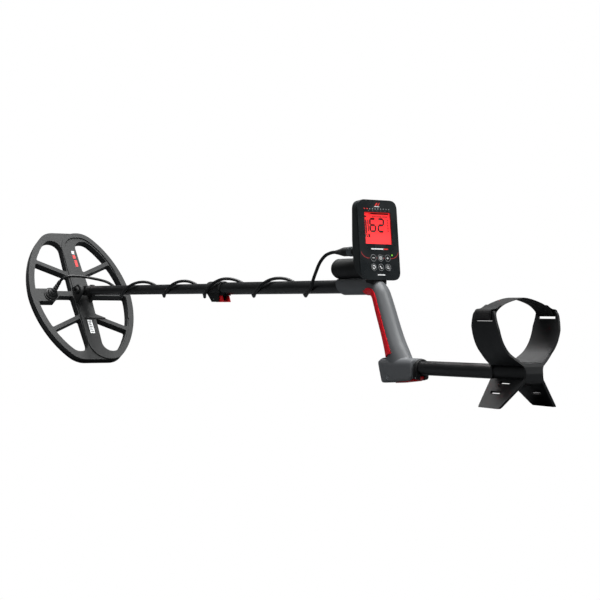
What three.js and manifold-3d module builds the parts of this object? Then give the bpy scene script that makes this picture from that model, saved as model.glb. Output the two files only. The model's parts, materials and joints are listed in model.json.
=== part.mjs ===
// A hand-held metal detector: a spoked double-D search coil on a telescoping shaft, an S-shaped
// handle with a display pod and a battery tube, and a rear shaft with an arm cuff on two legs.
//
// Millimetres, +Z up, +Y towards the search coil, +X to the user's right. The detector rests on
// the cuff's two feet and on the heel edge of the coil, and the origin is at the middle of the
// bottom of its bounding box.
//
// Everything is laid out in the shaft frame: +Y along the front shaft's axis, with its origin on
// the coil's hinge axis. One group leans that whole frame until feet and coil touch the ground.
import * as THREE from 'three';
import { mergeVertices } from 'three/addons/utils/BufferGeometryUtils.js';
import Module from 'manifold-3d';

const wasm = await Module();
wasm.setup();

const GAP = 0.3;
const SIDES = 24;
const WALL = 2.6;

// search coil, in its own frame: +Y towards the toe, +Z out of its upper face
const COIL_LEAN = 58.6;
const COIL_HALF_WIDTH = 114.5;
const COIL_CURVE_LENGTH = 168.6;
const COIL_POWER = 1.84;
const COIL_HALF_LENGTH = 152.5;
const COIL_SHIFT = 1.25;
const RIM = 12.5;
const TOE_RIM = 19.5;
const RIM_CURVE_INSET = 15.6;
const SPINE_HALF = 20.3;
const SPINE_TAPER = 0.035;
const SPOKE_HALF = 4.4;
const SPOKE_SLOPE = 0.445;
const SPOKE_AT_SPINE = 52;
const CROSS_SPOKE = { middle: 3.5, half: 6 };
const OPENING = { tip: 100, tipRadius: 20, radius: 3 };
const WEB = { outer: -62, half: 15 };
const HINGE_HEIGHT = 19.9;
const RING_RAISE = 2.5;
const RING_WIDTH = 11;
const HOUSING_DEPTH = 10.5;
const BASE_DEPTH = 2.4;
const SKID_DEPTH = 3;
const EAR = { inner: 12.2, outer: 18.2, radius: 12.5, foot: 19 };

// shafts and clamps
const LOWER_TUBE = { outer: 9.4, inner: 8, front: -34, back: -590 };
const UPPER_TUBE = { outer: 11.1, inner: 9.8, front: -500, back: -955 };
const REAR_TUBE = { outer: 11.1, inner: 9.8, front: -1010, back: -1330, height: -126.8 };
const BORE = UPPER_TUBE.outer + GAP;
const FRONT_CLAMP = { front: -478, back: -526, outer: 13.2, lugBottom: 24.2, pin: [-505.5, 19.3] };
const REAR_CLAMP = { front: -1080, back: -1088.5, outer: 13.6, lugBottom: 18.4, pin: [-1083.6, 15.1] };
const PIN_RADIUS = 1.4;

// handle, battery tube and pod
const SLEEVE = { front: -869, back: -958.7, radius: 13.7 };
const BEND = { radius: 30, angle: 65.5 };
const PAD = { front: -951.5, spread: [60, 72, 82, 90, 96], fullSpread: 98.5 };
const BLOCK = { half: 17, top: -112.5, back: -1079 };
const BATTERY = { radius: 16.4, height: 29.6, front: -865.6, joint: -885, back: -960.9 };
const CELL = { radius: 13, front: -888, back: -956 };
const POD = { lean: 84.1, at: [0, -978.2, 67.3], half: 39.7, bottom: -58, top: 71 };
const POD_BACK = [[-57.6, -2.9], [-54.5, -4.2], [-49.6, -6.6], [-40.7, -14.8], [-24.5, -18.8],
  [7.6, -18.8], [55.5, -14.8], [74, -13.3]];
const POD_WALL = 2.2;
const BEZEL_DEPTH = 2.6;
const LCD = { half: 26.5, height: 51 };
const KEY = { radius: 6, pitchX: 14.3, pitchY: 15, firstRow: -22.6, shift: 0.4 };
const PLUG = { x: -22, z: 55.8, tip: -893, body: -915, ring: -927.5, socket: -942 };

// arm cuff and strap
const CUFF = { thickness: 3.6, front: -1262, back: -1338, foot: -176.6 };
const STRAP = { thickness: 1.8, front: -1282, back: -1316 };

// search-coil cable
const CABLE_RADIUS = 2.8;
const UNDER_SHAFT = [14, -150, -314, -459, -621, -778, -942];
const WRAP_RADIUS = [[-100, 14.2], [-440, 14.2], [-474, 17.2], [-528, 17.2], [-556, 15.5], [-850, 15.5]];
const WRAP_LIFT = 1;
const FIRST_TURN = 0.72;
const SPLIT_TURN = 3.08;
const LAST_TURN = 5.22;
const POINTS_PER_TURN = 14;
const COIL_LEAD = [
  [-62.3, -8.2, 19.6], [-57.5, -15, 25.5], [-47, -20.5, 28.6], [-34, -26, 28.8], [-21, -34.5, 27.3],
  [-9, -46, 24.4], [2, -62, 20.6], [9.4, -78, 15.6],
];
const PLUG_LEAD = [
  [-18.6, -825, 12], [-20.6, -836.5, 26.5], [-21.8, -848, 40], [-22, -863, 50.8], [-22, -880, 55.3],
  [-22, -892.6, 55.8],
];

const finish = (color, roughness, metalness = 0) =>
  new THREE.MeshStandardMaterial({ color, roughness, metalness });
const COIL_PLASTIC = finish(0x4c4e4e, 0.6);
const BLACK_PLASTIC = finish(0x1b1c1d, 0.55);
const HANDLE_PLASTIC = finish(0x5c5f61, 0.45);
const TUBE_COATING = finish(0x101112, 0.4);
const RED_PLASTIC = finish(0xd5121f, 0.5);
const POD_PLASTIC = finish(0x202425, 0.35);
const RUBBER = finish(0x161616, 0.85);
const STEEL = finish(0xa8abad, 0.35, 1);
const COPPER = finish(0xb4672c, 0.4, 1);
const WEBBING = finish(0x1a1a1a, 0.95);
const LCD_RED = finish(0xff4545, 0.4);
const CLEAR = finish(0x8a1f22, 0.1);
const BOARD_GREEN = finish(0x1d5a35, 0.6);
const CELL_WRAP = finish(0x3a6ea5, 0.5);

// ---------------------------------------------------------------- solids

// A closed manifold solid from a three.js geometry, turned to face out.
function solid(geometry) {
  const bare = geometry.clone();
  bare.deleteAttribute('normal');
  bare.deleteAttribute('uv');
  const merged = mergeVertices(bare, 1e-4);
  const position = merged.attributes.position.array;
  const index = merged.index.array;
  const triangles = [];
  let volume = 0;
  for (let i = 0; i < index.length; i += 3) {
    const [a, b, c] = index.slice(i, i + 3);
    if (a === b || b === c || c === a) continue;
    triangles.push(a, b, c);
    const [p, q, r] = [a, b, c].map((v) => new THREE.Vector3().fromArray(position, v * 3));
    volume += p.dot(q.cross(r));
  }
  if (volume < 0) triangles.reverse();
  const mesh = new wasm.Mesh({
    numProp: 3,
    vertProperties: new Float32Array(position),
    triVerts: new Uint32Array(triangles),
  });
  return new wasm.Manifold(mesh);
}

function part(name, body, material) {
  const { vertProperties, triVerts } = (body instanceof wasm.Manifold ? body : solid(body)).getMesh();
  const geometry = new THREE.BufferGeometry();
  geometry.setAttribute('position', new THREE.BufferAttribute(vertProperties, 3));
  geometry.setIndex(new THREE.BufferAttribute(triVerts, 1));
  geometry.computeVertexNormals();
  const mesh = new THREE.Mesh(geometry, material);
  mesh.name = name;
  return mesh;
}

const join = (first, ...rest) => rest.reduce((sum, body) => sum.add(body), first);
const cut = (body, ...tools) => tools.reduce((left, tool) => left.subtract(tool), body);

const box = (x, y, z) =>
  solid(
    new THREE.BoxGeometry(x[1] - x[0], y[1] - y[0], z[1] - z[0]).translate(
      (x[0] + x[1]) / 2,
      (y[0] + y[1]) / 2,
      (z[0] + z[1]) / 2,
    ),
  );

// A body of revolution about a line along Y; the profile is a list of [radius, y].
const turnedY = (profile, x = 0, z = 0, sides = SIDES) =>
  solid(
    new THREE.LatheGeometry(profile.map(([r, y]) => new THREE.Vector2(r, y)), sides).translate(x, 0, z),
  );

// The same about a line along X; the profile is a list of [radius, x].
const turnedX = (profile, y = 0, z = 0, sides = SIDES) =>
  solid(
    new THREE.LatheGeometry(profile.map(([r, x]) => new THREE.Vector2(r, x)), sides)
      .rotateZ(-Math.PI / 2)
      .translate(0, y, z),
  );

// The same about a line along Z; the profile is a list of [radius, z].
const turnedZ = (profile, x = 0, y = 0, sides = SIDES) =>
  solid(
    new THREE.LatheGeometry(profile.map(([r, z]) => new THREE.Vector2(r, z)), sides)
      .rotateX(Math.PI / 2)
      .translate(x, y, 0),
  );

const rod = (radius, from, to) => [[0, from], [radius, from], [radius, to], [0, to]];
const pipe = (outer, inner, from, to) =>
  [[inner, from], [outer, from], [outer, to], [inner, to], [inner, from]];

// ---------------------------------------------------------------- outlines

// What is left of a polygon on the side of a line where a * x + b * y <= c.
function clip(points, a, b, c) {
  const side = ([x, y]) => a * x + b * y - c;
  const kept = [];
  points.forEach((p, i) => {
    const q = points[(i + 1) % points.length];
    const [sp, sq] = [side(p), side(q)];
    if (sp <= 0) kept.push(p);
    if (sp * sq < 0) {
      const t = sp / (sp - sq);
      kept.push([p[0] + t * (q[0] - p[0]), p[1] + t * (q[1] - p[1])]);
    }
  });
  return kept;
}

// Rounds each corner sharper than 20 degrees, keeping clear of its neighbours.
function rounded(points, radius, steps = 4) {
  const result = [];
  points.forEach((p, i) => {
    const corner = new THREE.Vector2(...p);
    const before = new THREE.Vector2(...points[(i + points.length - 1) % points.length]).sub(corner);
    const after = new THREE.Vector2(...points[(i + 1) % points.length]).sub(corner);
    const turn = Math.PI - Math.abs(before.angleTo(after));
    if (turn < THREE.MathUtils.degToRad(20)) {
      result.push(p);
      return;
    }
    const reach = Math.min(radius * Math.tan(turn / 2), before.length() * 0.48, after.length() * 0.48);
    const start = corner.clone().addScaledVector(before.normalize(), reach);
    const end = corner.clone().addScaledVector(after.normalize(), reach);
    const curve = new THREE.QuadraticBezierCurve(start, corner, end);
    curve.getPoints(steps).forEach((v) => result.push([v.x, v.y]));
  });
  return result;
}

const shapeOf = (points) => new THREE.Shape(points.map(([x, y]) => new THREE.Vector2(x, y)));

// A flat plate: an outline in X and Y, between two heights.
const plate = (points, low, high) =>
  solid(
    new THREE.ExtrudeGeometry(shapeOf(points), { depth: high - low, bevelEnabled: false })
      .translate(0, 0, low),
  );

// A side outline in Y and Z, between two places along X.
const sidePlate = (points, left, right) => {
  const turn = new THREE.Matrix4().makeBasis(
    new THREE.Vector3(0, 1, 0),
    new THREE.Vector3(0, 0, 1),
    new THREE.Vector3(1, 0, 0),
  );
  return solid(
    new THREE.ExtrudeGeometry(shapeOf(points), { depth: right - left, bevelEnabled: false })
      .applyMatrix4(turn)
      .translate(left, 0, 0),
  );
};

// A cross-section in X and Z, between two places along Y.
const crossPlate = (points, back, front) =>
  solid(
    new THREE.ExtrudeGeometry(shapeOf(points), { depth: front - back, bevelEnabled: false })
      .rotateX(Math.PI / 2)
      .translate(0, front, 0),
  );

function roundedRectangle(left, right, low, high, radius) {
  return rounded([[left, low], [right, low], [right, high], [left, high]], radius, 5);
}

// A skin over rings of points, closed by flat caps; flatten turns a ring's point into the plane.
function skin(rings, flatten) {
  const count = rings[0].length;
  const positions = rings.flat().flatMap((v) => [v.x, v.y, v.z]);
  const index = [];
  for (let r = 0; r < rings.length - 1; r += 1) {
    for (let i = 0; i < count; i += 1) {
      const [a, b] = [r * count + i, r * count + ((i + 1) % count)];
      index.push(a, b, b + count, a, b + count, a + count);
    }
  }
  const capFaces = THREE.ShapeUtils.triangulateShape(rings[0].map(flatten), []);
  const last = (rings.length - 1) * count;
  capFaces.forEach(([a, b, c]) => index.push(c, b, a, last + a, last + b, last + c));
  const geometry = new THREE.BufferGeometry();
  geometry.setAttribute('position', new THREE.BufferAttribute(new Float32Array(positions), 3));
  geometry.setIndex(index);
  return solid(geometry);
}

// ---------------------------------------------------------------- search coil

// The coil's outline: a superellipse cut flat at toe and heel.
function coilCurve(halfWidth, curveLength, halfLength, count = 56) {
  const power = (value) => Math.sign(value) * Math.abs(value) ** (2 / COIL_POWER);
  const points = [];
  for (let i = 0; i < count; i += 1) {
    const angle = ((i + 0.5) / count) * 2 * Math.PI;
    points.push([halfWidth * power(Math.cos(angle)), curveLength * power(Math.sin(angle))]);
  }
  return clip(clip(points, 0, 1, halfLength), 0, -1, halfLength);
}

// Rounds an outline's corners by a radius, however short its edges are.
function eased(points, radius, segments) {
  const within = new wasm.CrossSection([points]).offset(-radius, 'Round', 2, segments);
  return within.offset(radius, 'Round', 2, segments).simplify(0.02).toPolygons()[0];
}

const coilOutline = (inset) =>
  eased(
    coilCurve(COIL_HALF_WIDTH - inset, COIL_CURVE_LENGTH - inset, COIL_HALF_LENGTH - inset),
    44 - inset,
    56,
  );
const rimInside = (grow = 0) =>
  coilCurve(
    COIL_HALF_WIDTH - RIM + grow,
    COIL_CURVE_LENGTH - RIM_CURVE_INSET + grow,
    COIL_HALF_LENGTH - TOE_RIM + grow,
  );

// One opening on the +X side and toe half: between the toe and the slanted spoke, or between the
// slanted spoke and the cross spoke. The others are its mirror images.
function opening(atToe, sideX, sideY) {
  const middle = SPOKE_AT_SPINE - SPOKE_SLOPE * SPINE_HALF;
  const half = SPOKE_HALF * Math.hypot(1, SPOKE_SLOPE);
  let points = clip(rimInside(), -1, -SPINE_TAPER, -SPINE_HALF);
  if (atToe) {
    points = clip(points, SPOKE_SLOPE, -1, -(middle + half));
  } else {
    points = clip(points, -SPOKE_SLOPE, 1, middle - half);
    points = clip(points, 0, -1, -(CROSS_SPOKE.half + CROSS_SPOKE.middle * sideY));
  }
  const far = atToe ? OPENING.tip : COIL_HALF_LENGTH;
  const outline = [
    ...eased(points, OPENING.tipRadius, 40).filter(([, y]) => y > far),
    ...eased(points, OPENING.radius, 16).filter(([, y]) => y <= far),
  ];
  const middleX = COIL_HALF_WIDTH / 2;
  const middleY = outline.reduce((sum, [, y]) => sum + y, 0) / outline.length;
  const turnOf = ([x, y]) => Math.atan2(y - middleY, x - middleX);
  outline.sort((p, q) => turnOf(p) - turnOf(q));
  return outline.map(([x, y]) => [x * sideX, y * sideY]);
}

function coilOpenings(low, high) {
  const holes = [];
  for (const sideX of [-1, 1]) {
    for (const sideY of [-1, 1]) {
      holes.push(plate(opening(true, sideX, sideY), low, high));
      holes.push(plate(opening(false, sideX, sideY), low, high));
    }
  }
  return holes;
}

// The wide web beside the rim, which carries the cable gland.
function web(low, high) {
  const ends = [-(COIL_HALF_WIDTH - RIM / 2), WEB.outer];
  return plate(roundedRectangle(...ends, -WEB.half, WEB.half, 5), low, high);
}

function coilSheet(low, high, inset = 0) {
  const sheet = cut(plate(coilOutline(inset), low, high), ...coilOpenings(low - 1, high + 1));
  return join(sheet, web(low, high));
}

// A D that leaves out the coil's left part: what the raised ring and the windings follow.
const dCurve = (inset, left) => {
  const curve = coilCurve(COIL_HALF_WIDTH - inset, COIL_CURVE_LENGTH - inset, COIL_HALF_LENGTH - inset);
  return clip(curve, -1, 0, -left);
};
const dOutline = (inset, left, corner) => rounded(dCurve(inset, left), corner, 8);
const mirrored = (points) => points.map(([x, y]) => [-x, y]);

const COIL_TOP = -HINGE_HEIGHT;
const HOUSING_BOTTOM = COIL_TOP - HOUSING_DEPTH;
const BASE_BOTTOM = HOUSING_BOTTOM - GAP - BASE_DEPTH;
const SKID_BOTTOM = BASE_BOTTOM - GAP - SKID_DEPTH;
const HUB_HALF = 56;

function raisedRing() {
  const top = COIL_TOP + RING_RAISE;
  const ring = plate(eased(dCurve(0, 4 - SPINE_HALF), 42, 56), COIL_TOP - 1, top);
  const pan = plate(eased(dCurve(RING_WIDTH, -9), 30, 40), COIL_TOP, top + 1);
  const hub = box([-HUB_HALF * 2, HUB_HALF * 2], [-HUB_HALF, HUB_HALF], [COIL_TOP - 1, top + 2]);
  return cut(ring, pan.subtract(hub), ...coilOpenings(COIL_TOP - 2, top + 1));
}

function ear(side) {
  const foot = COIL_TOP - 1;
  const outline = [];
  for (let i = 0; i <= 10; i += 1) {
    const angle = (i / 10) * Math.PI;
    outline.push([EAR.radius * Math.cos(angle), EAR.radius * Math.sin(angle)]);
  }
  outline.push([-EAR.foot, foot], [EAR.foot, foot]);
  const ends = [side * EAR.inner, side * EAR.outer].sort((a, b) => a - b);
  return sidePlate(outline, ...ends);
}

const GLAND_X = -70;
const BOLT_RADIUS = 4;

function coilHousing() {
  const pocketTop = COIL_TOP - WALL;
  const channel = cut(
    plate(coilOutline(3), HOUSING_BOTTOM - 1, pocketTop),
    plate(rimInside(WALL), HOUSING_BOTTOM - 2, pocketTop + 1),
  );
  const spine = box([-13, 13], [-138, 138], [HOUSING_BOTTOM - 1, pocketTop]);
  const gland = turnedZ(rod(15.5, COIL_TOP - 1, COIL_TOP + 2.6), GLAND_X);
  const cablePort = turnedZ(rod(4.5, HOUSING_BOTTOM - 1, COIL_TOP + 5), GLAND_X);
  const passage = box([GLAND_X - 4, -12], [-4, 4], [HOUSING_BOTTOM - 1, pocketTop]);
  const shell = join(coilSheet(HOUSING_BOTTOM, COIL_TOP), raisedRing(), gland);
  const hollow = cut(shell, channel, spine, passage, cablePort).translate([0, COIL_SHIFT, 0]);
  const ears = join(ear(-1), ear(1));
  return cut(join(hollow, ears), turnedX(rod(BOLT_RADIUS + GAP, -40, 40)));
}

function winding(side, low, high) {
  const turn = side > 0 ? (points) => points : mirrored;
  const outside = plate(turn(dOutline(5, -8, 20)), low, high);
  const inside = plate(turn(dOutline(9, -4, 17)), low - 1, high + 1);
  return outside.subtract(inside);
}

function cableGland() {
  const low = COIL_TOP + 2.6 + GAP;
  return turnedZ(
    [[3.4, low], [13.4, low], [13.4, low + 2.4], [10.6, low + 4.2], [9, low + 7], [6.8, low + 8.6],
      [3.4, low + 8.6], [3.4, low]],
    GLAND_X,
  );
}

// The ribbed strain relief, from the gland towards the shaft; the last two stations are its tip.
const BOOT_BASE = [GLAND_X - 1.2, -0.6, COIL_TOP + 7.8];
const BOOT_TIP = [-62.6, 11.9, COIL_TOP + 36];

function glandBoot() {
  const [base, tip] = [new THREE.Vector3(...BOOT_BASE), new THREE.Vector3(...BOOT_TIP)];
  const length = base.distanceTo(tip);
  const profile = [[0, 0], [6.6, 0]];
  for (let rib = 1; rib <= 4; rib += 1) {
    const y = rib * length * 0.17;
    const radius = 6.7 - rib * 0.55;
    profile.push([radius, y], [radius - 1, y + 0.8], [radius - 1, y + 2], [radius - 0.3, y + 2.8]);
  }
  profile.push([3.6, length], [0, length]);
  const geometry = new THREE.LatheGeometry(profile.map(([r, y]) => new THREE.Vector2(r, y)), 16);
  const up = new THREE.Vector3(0, 1, 0);
  const turn = new THREE.Quaternion().setFromUnitVectors(up, tip.clone().sub(base).normalize());
  const whole = solid(geometry.applyQuaternion(turn).translate(...BOOT_BASE));
  return cut(whole, box([-100, -40], [-30, 30], [COIL_TOP - 5, COIL_TOP + 11.5 + GAP]));
}

function coilGroup() {
  const coil = new THREE.Group();
  coil.name = 'coil_hinge';
  coil.rotation.x = THREE.MathUtils.degToRad(COIL_LEAN);
  const disc = new THREE.Group();
  disc.position.y = COIL_SHIFT;
  const channelFloor = HOUSING_BOTTOM + 0.6;
  coil.add(part('coil_housing', coilHousing(), COIL_PLASTIC));
  disc.add(part('coil_base', coilSheet(BASE_BOTTOM, HOUSING_BOTTOM - GAP), BLACK_PLASTIC));
  disc.add(part('skid_plate', coilSheet(SKID_BOTTOM, BASE_BOTTOM - GAP), BLACK_PLASTIC));
  disc.add(part('transmit_winding', winding(1, channelFloor, channelFloor + 2.6), COPPER));
  disc.add(part('receive_winding', winding(-1, channelFloor + 3, channelFloor + 5.6), COPPER));
  disc.add(part('cable_gland', cableGland(), BLACK_PLASTIC));
  coil.add(disc);
  coil.add(part('gland_boot', glandBoot(), RUBBER));
  const head = [[0, -24], [6.4, -24], [7.6, -22.8], [7.6, -18.5], [BOLT_RADIUS, -18.5]];
  const bolt = [...head, [BOLT_RADIUS, 24.5], [0, 24.5]];
  coil.add(part('yoke_bolt', turnedX(bolt), BLACK_PLASTIC));
  const nut = cut(turnedX(rod(8, 18.5, 23.4), 0, 0, 6), turnedX(rod(BOLT_RADIUS + GAP, 18, 24)));
  coil.add(part('yoke_nut', nut, BLACK_PLASTIC));
  return coil;
}

// ---------------------------------------------------------------- lower shaft

function shaftTip() {
  const ribs = [[0, -62], [7.6, -62], [7.6, LOWER_TUBE.front + GAP], [9.8, LOWER_TUBE.front + GAP]];
  for (const y of [-31, -27, -23, -19]) {
    ribs.push([9.8, y - 1.6], [9, y - 1.2], [9, y], [9.8, y + 0.4]);
  }
  ribs.push([9.8, -13], [0, -13]);
  const neck = box([-9.3, 9.3], [-16, 0], [-9, 9]);
  const eye = turnedX(rod(10.4, -9.3, 9.3));
  return cut(join(turnedY(ribs), neck, eye), turnedX(rod(BOLT_RADIUS + GAP, -12, 12)));
}

function lowerShaft() {
  const shaft = new THREE.Group();
  const { outer, inner, front, back } = LOWER_TUBE;
  shaft.add(part('lower_shaft_tube', turnedY(pipe(outer, inner, back, front)), TUBE_COATING));
  const stop = [[0, back - 4], [9.5, back - 4], [9.5, back - GAP], [7.6, back - GAP], [7.6, back + 22],
    [0, back + 22]];
  shaft.add(part('shaft_end_stop', turnedY(stop), BLACK_PLASTIC));
  shaft.add(part('shaft_tip', shaftTip(), BLACK_PLASTIC));
  for (const [side, name] of [[-1, 'friction_washer_left'], [1, 'friction_washer_right']]) {
    const ends = [side * 9.6, side * 11.9].sort((a, b) => a - b);
    shaft.add(part(name, turnedX(pipe(9.8, BOLT_RADIUS + GAP, ...ends)), RUBBER));
  }
  return shaft;
}

// ---------------------------------------------------------------- cam clamps

// The collar of a cam clamp round a tube at the given height. The lug under it holds the lever's
// pin, in a slot that opens backwards when toBack is 1 and forwards when it is -1.
function clampRing({ front, back, outer }, height) {
  const profile = [[BORE, back], [outer - 0.8, back], [outer, back + 0.8], [outer, front - 2.4],
    [outer - 2, front], [BORE - 1, front], [BORE, back]];
  return turnedY(profile, 0, height);
}

function clampBore({ front, back }, height) {
  return turnedY(rod(BORE, back - 1, front + 1), 0, height);
}

function pinHole([y, drop], height) {
  return turnedX(rod(PIN_RADIUS + GAP, -12, 12), y, height - drop, 12);
}

// The front collar: its lug is split for the lever's cam, and notched behind for the lever's end.
function frontCollar() {
  const { front, back, lugBottom, pin } = FRONT_CLAMP;
  const lug = rounded([[front - 5, -8], [front - 22, -lugBottom], [-522, -lugBottom], [-524, -8]], 1.5, 2);
  const tongue = box([-8, 8], [-534.5, -520], [-12.8, -4]);
  const liner = pipe(12.2, LOWER_TUBE.outer + GAP, UPPER_TUBE.front + 0.5, front - 0.6);
  const camSlot = box([-4.9, 4.9], [back - 1, front - 10], [-30, -13.9]);
  const notch = box([-8.6, 8.6], [back - 12, -515.3], [-30, -12.8]);
  const body = join(clampRing(FRONT_CLAMP, 0), sidePlate(lug, -11, 11), tongue);
  const bore = turnedY(rod(BORE, -560, front + 1));
  return join(cut(body, bore, camSlot, notch, pinHole(pin, 0)), turnedY(liner));
}

// The rear collar: a ring on a square foot, split for the lever's cam.
function rearCollar() {
  const { front, back, lugBottom, pin } = REAR_CLAMP;
  const { height } = REAR_TUBE;
  const foot = roundedRectangle(-11.6, 11.6, height - lugBottom, height, 5);
  const camSlot = box([-4.9, 4.9], [back - 1, front + 1], [height - 40, height - 12.2]);
  const body = join(clampRing(REAR_CLAMP, height), crossPlate(foot, back, front));
  return cut(body, clampBore(REAR_CLAMP, height), camSlot, pinHole(pin, height));
}

// The front lever in its pin's frame: a cam on a neck, and a short channel with two cheeks behind.
function frontLever() {
  const cam = turnedX(rod(4.2, -4.5, 4.5), 0, 0, 16);
  const neck = sidePlate([[0, -5.2], [0, -1], [-13, -2.6], [-13, -5.2]], -4.5, 4.5);
  const plan = roundedRectangle(-8.2, 8.2, -29.3, -11.2, 1.5);
  const cheek = [[-11.4, -5.2], [-17.3, 6], [-24.5, 6], [-29.1, -5.2]];
  const cheeks = join(sidePlate(cheek, -8.2, -6.2), sidePlate(cheek, 6.2, 8.2));
  const body = join(cam, neck, plate(plan, -5.2, -3), cheeks);
  return cut(body, turnedX(rod(PIN_RADIUS + GAP, -12, 12), 0, 0, 12));
}

// The rear lever in its pin's frame: a wide bar that slopes down under the handle's block.
function rearLever() {
  const cam = turnedX(rod(2.6, -4.5, 4.5), 0, 0, 16);
  const neck = sidePlate([[0, -2.6], [0, 1], [4.3, -2.4], [11, -2.9], [11, -5.6], [4, -5]], -4.5, 4.5);
  const side = rounded([[9.5, -2.7], [9.5, -5.6], [49.5, -9.8], [49.5, -7.4]], 1.2, 2);
  const plan = plate(roundedRectangle(-11.5, 11.5, 9, 49.6, 4), -12, 0);
  const body = join(cam, neck, sidePlate(side, -11.5, 11.5).intersect(plan));
  return cut(body, turnedX(rod(PIN_RADIUS + GAP, -12, 12), 0, 0, 12));
}

function clampPin([y, drop], height, half) {
  return turnedX(rod(PIN_RADIUS, -half, half), y, height - drop, 12);
}

function leverGroup(name, [y, drop], height, body) {
  const hinge = new THREE.Group();
  hinge.name = `${name}_hinge`;
  hinge.position.set(0, y, height - drop);
  hinge.add(part(name, body, RED_PLASTIC));
  return hinge;
}

function clamps() {
  const group = new THREE.Group();
  const { height } = REAR_TUBE;
  group.add(part('front_clamp_collar', frontCollar(), BLACK_PLASTIC));
  group.add(part('front_clamp_pin', clampPin(FRONT_CLAMP.pin, 0, 10.8), STEEL));
  group.add(leverGroup('front_clamp_lever', FRONT_CLAMP.pin, 0, frontLever()));
  group.add(part('rear_clamp_collar', rearCollar(), BLACK_PLASTIC));
  group.add(part('rear_clamp_pin', clampPin(REAR_CLAMP.pin, height, 11.2), STEEL));
  group.add(leverGroup('rear_clamp_lever', REAR_CLAMP.pin, height, rearLever()));
  return group;
}

// ---------------------------------------------------------------- handle

// The handle's centre line: level in the sleeve, round the bend, and straight down the grip.
// Each station gives the place, the direction to the grip's front and the half sizes.
function handleStation(y, z, angle, depth, width) {
  const turn = THREE.MathUtils.degToRad(angle);
  const front = new THREE.Vector3(0, Math.sin(turn), -Math.cos(turn));
  return { centre: new THREE.Vector3(0, y, z), front, depth, width };
}

function handlePath(from = SLEEVE.front) {
  const stations = [
    handleStation(from, 0, 0, SLEEVE.radius, SLEEVE.radius),
    handleStation(PAD.front, 0, 0, SLEEVE.radius, SLEEVE.radius),
    handleStation(SLEEVE.back, 0, 0, 13.9, 13.9),
  ];
  const bends = 5;
  for (let i = 1; i <= bends; i += 1) {
    const angle = (i / bends) * BEND.angle;
    const turn = THREE.MathUtils.degToRad(angle);
    const y = SLEEVE.back - BEND.radius * Math.sin(turn);
    const z = BEND.radius * (Math.cos(turn) - 1);
    const blend = i / bends;
    stations.push(handleStation(y, z, angle, 13.9 + 1.5 * blend, 13.9 + 1.1 * blend));
  }
  const grip = [[20, 16.3, 15.5], [45, 16.6, 16], [66, 17.4, 16.3], [84, 19.4, 16.6], [99, 22.4, 16.8],
    [120, 26, 16.8]];
  const end = stations[stations.length - 1];
  const down = new THREE.Vector3(1, 0, 0).cross(end.front).negate();
  for (const [distance, depth, width] of grip) {
    const centre = end.centre.clone().addScaledVector(down, distance);
    stations.push({ centre, front: end.front, depth, width });
  }
  return stations;
}

const sidewise = new THREE.Vector3(1, 0, 0);
const sectionPoint = ({ centre, front, depth, width }, angle, grow) =>
  centre
    .clone()
    .addScaledVector(front, (depth + grow) * Math.cos(angle))
    .addScaledVector(sidewise, (width + grow) * Math.sin(angle));

function handleLoft(grow, stations = handlePath()) {
  const rings = stations.map((station) => {
    const ring = [];
    for (let i = 0; i < SIDES; i += 1) {
      ring.push(sectionPoint(station, (i / SIDES) * 2 * Math.PI, grow));
    }
    return ring;
  });
  return skin(rings, (v) => new THREE.Vector2(v.x, v.z));
}

// The band wrapped round the front of the grip, between two offsets from the handle's surface.
function gripBand(inner, outer, widen = 0) {
  const steps = 12;
  const rings = handlePath().slice(1, 13).map((station, i) => {
    const half = THREE.MathUtils.degToRad((PAD.spread[i] ?? PAD.fullSpread) + widen);
    const ring = [];
    for (let k = 0; k <= steps; k += 1) {
      ring.push(sectionPoint(station, -half + (2 * half * k) / steps, outer));
    }
    for (let k = steps; k >= 0; k -= 1) {
      ring.push(sectionPoint(station, -half + (2 * half * k) / steps, inner));
    }
    return ring;
  });
  return skin(rings, (v) => new THREE.Vector2(v.x, v.z));
}

function blockOutline(inset) {
  const { top, back } = BLOCK;
  return rounded(
    [[-1003 - inset, top - inset], [-997 - inset, top - 7 - inset], [-1000.5 - inset, -132],
      [-1007 - inset, -151.6 + inset], [-1014, -152 + inset], [-1030, -148.5 + inset],
      [back + inset, -143.6 + inset], [back + inset, top - inset]],
    5,
    4,
  );
}

// The block at the foot of the grip that takes the rear shaft, with a skirt on each side of the
// clamp lever.
function block() {
  const section = roundedRectangle(-BLOCK.half, BLOCK.half, -160, BLOCK.top, 11);
  const body = sidePlate(blockOutline(0), -BLOCK.half, BLOCK.half)
    .intersect(crossPlate(section, -1090, -990));
  const skirt = [[-1024, -146], [-1028, -151.3], [-1077, -146.4], [-1077, -142]];
  return join(body, sidePlate(skirt, -16.6, -12.6), sidePlate(skirt, 12.6, 16.6));
}

const SCREWS = [
  { name: 'handle_screw_lower', y: -1022, z: -143.4, side: -1 },
  { name: 'handle_screw_rear', y: -1048, z: -141.6, side: 1 },
];
const SCREW_HEAD = 3;
const SCREW_SHANK = 1.7;

function handleScrew({ y, z, side }, grow) {
  const reach = side * 17.6;
  const headFoot = reach - side * 3;
  const profile = [[0, reach], [SCREW_HEAD + grow, reach], [SCREW_HEAD + grow, headFoot + -side * grow],
    [SCREW_SHANK + grow, headFoot + -side * grow], [SCREW_SHANK + grow, -side * 12], [0, -side * 12]];
  return turnedX(profile, y, z, 12);
}

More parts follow.
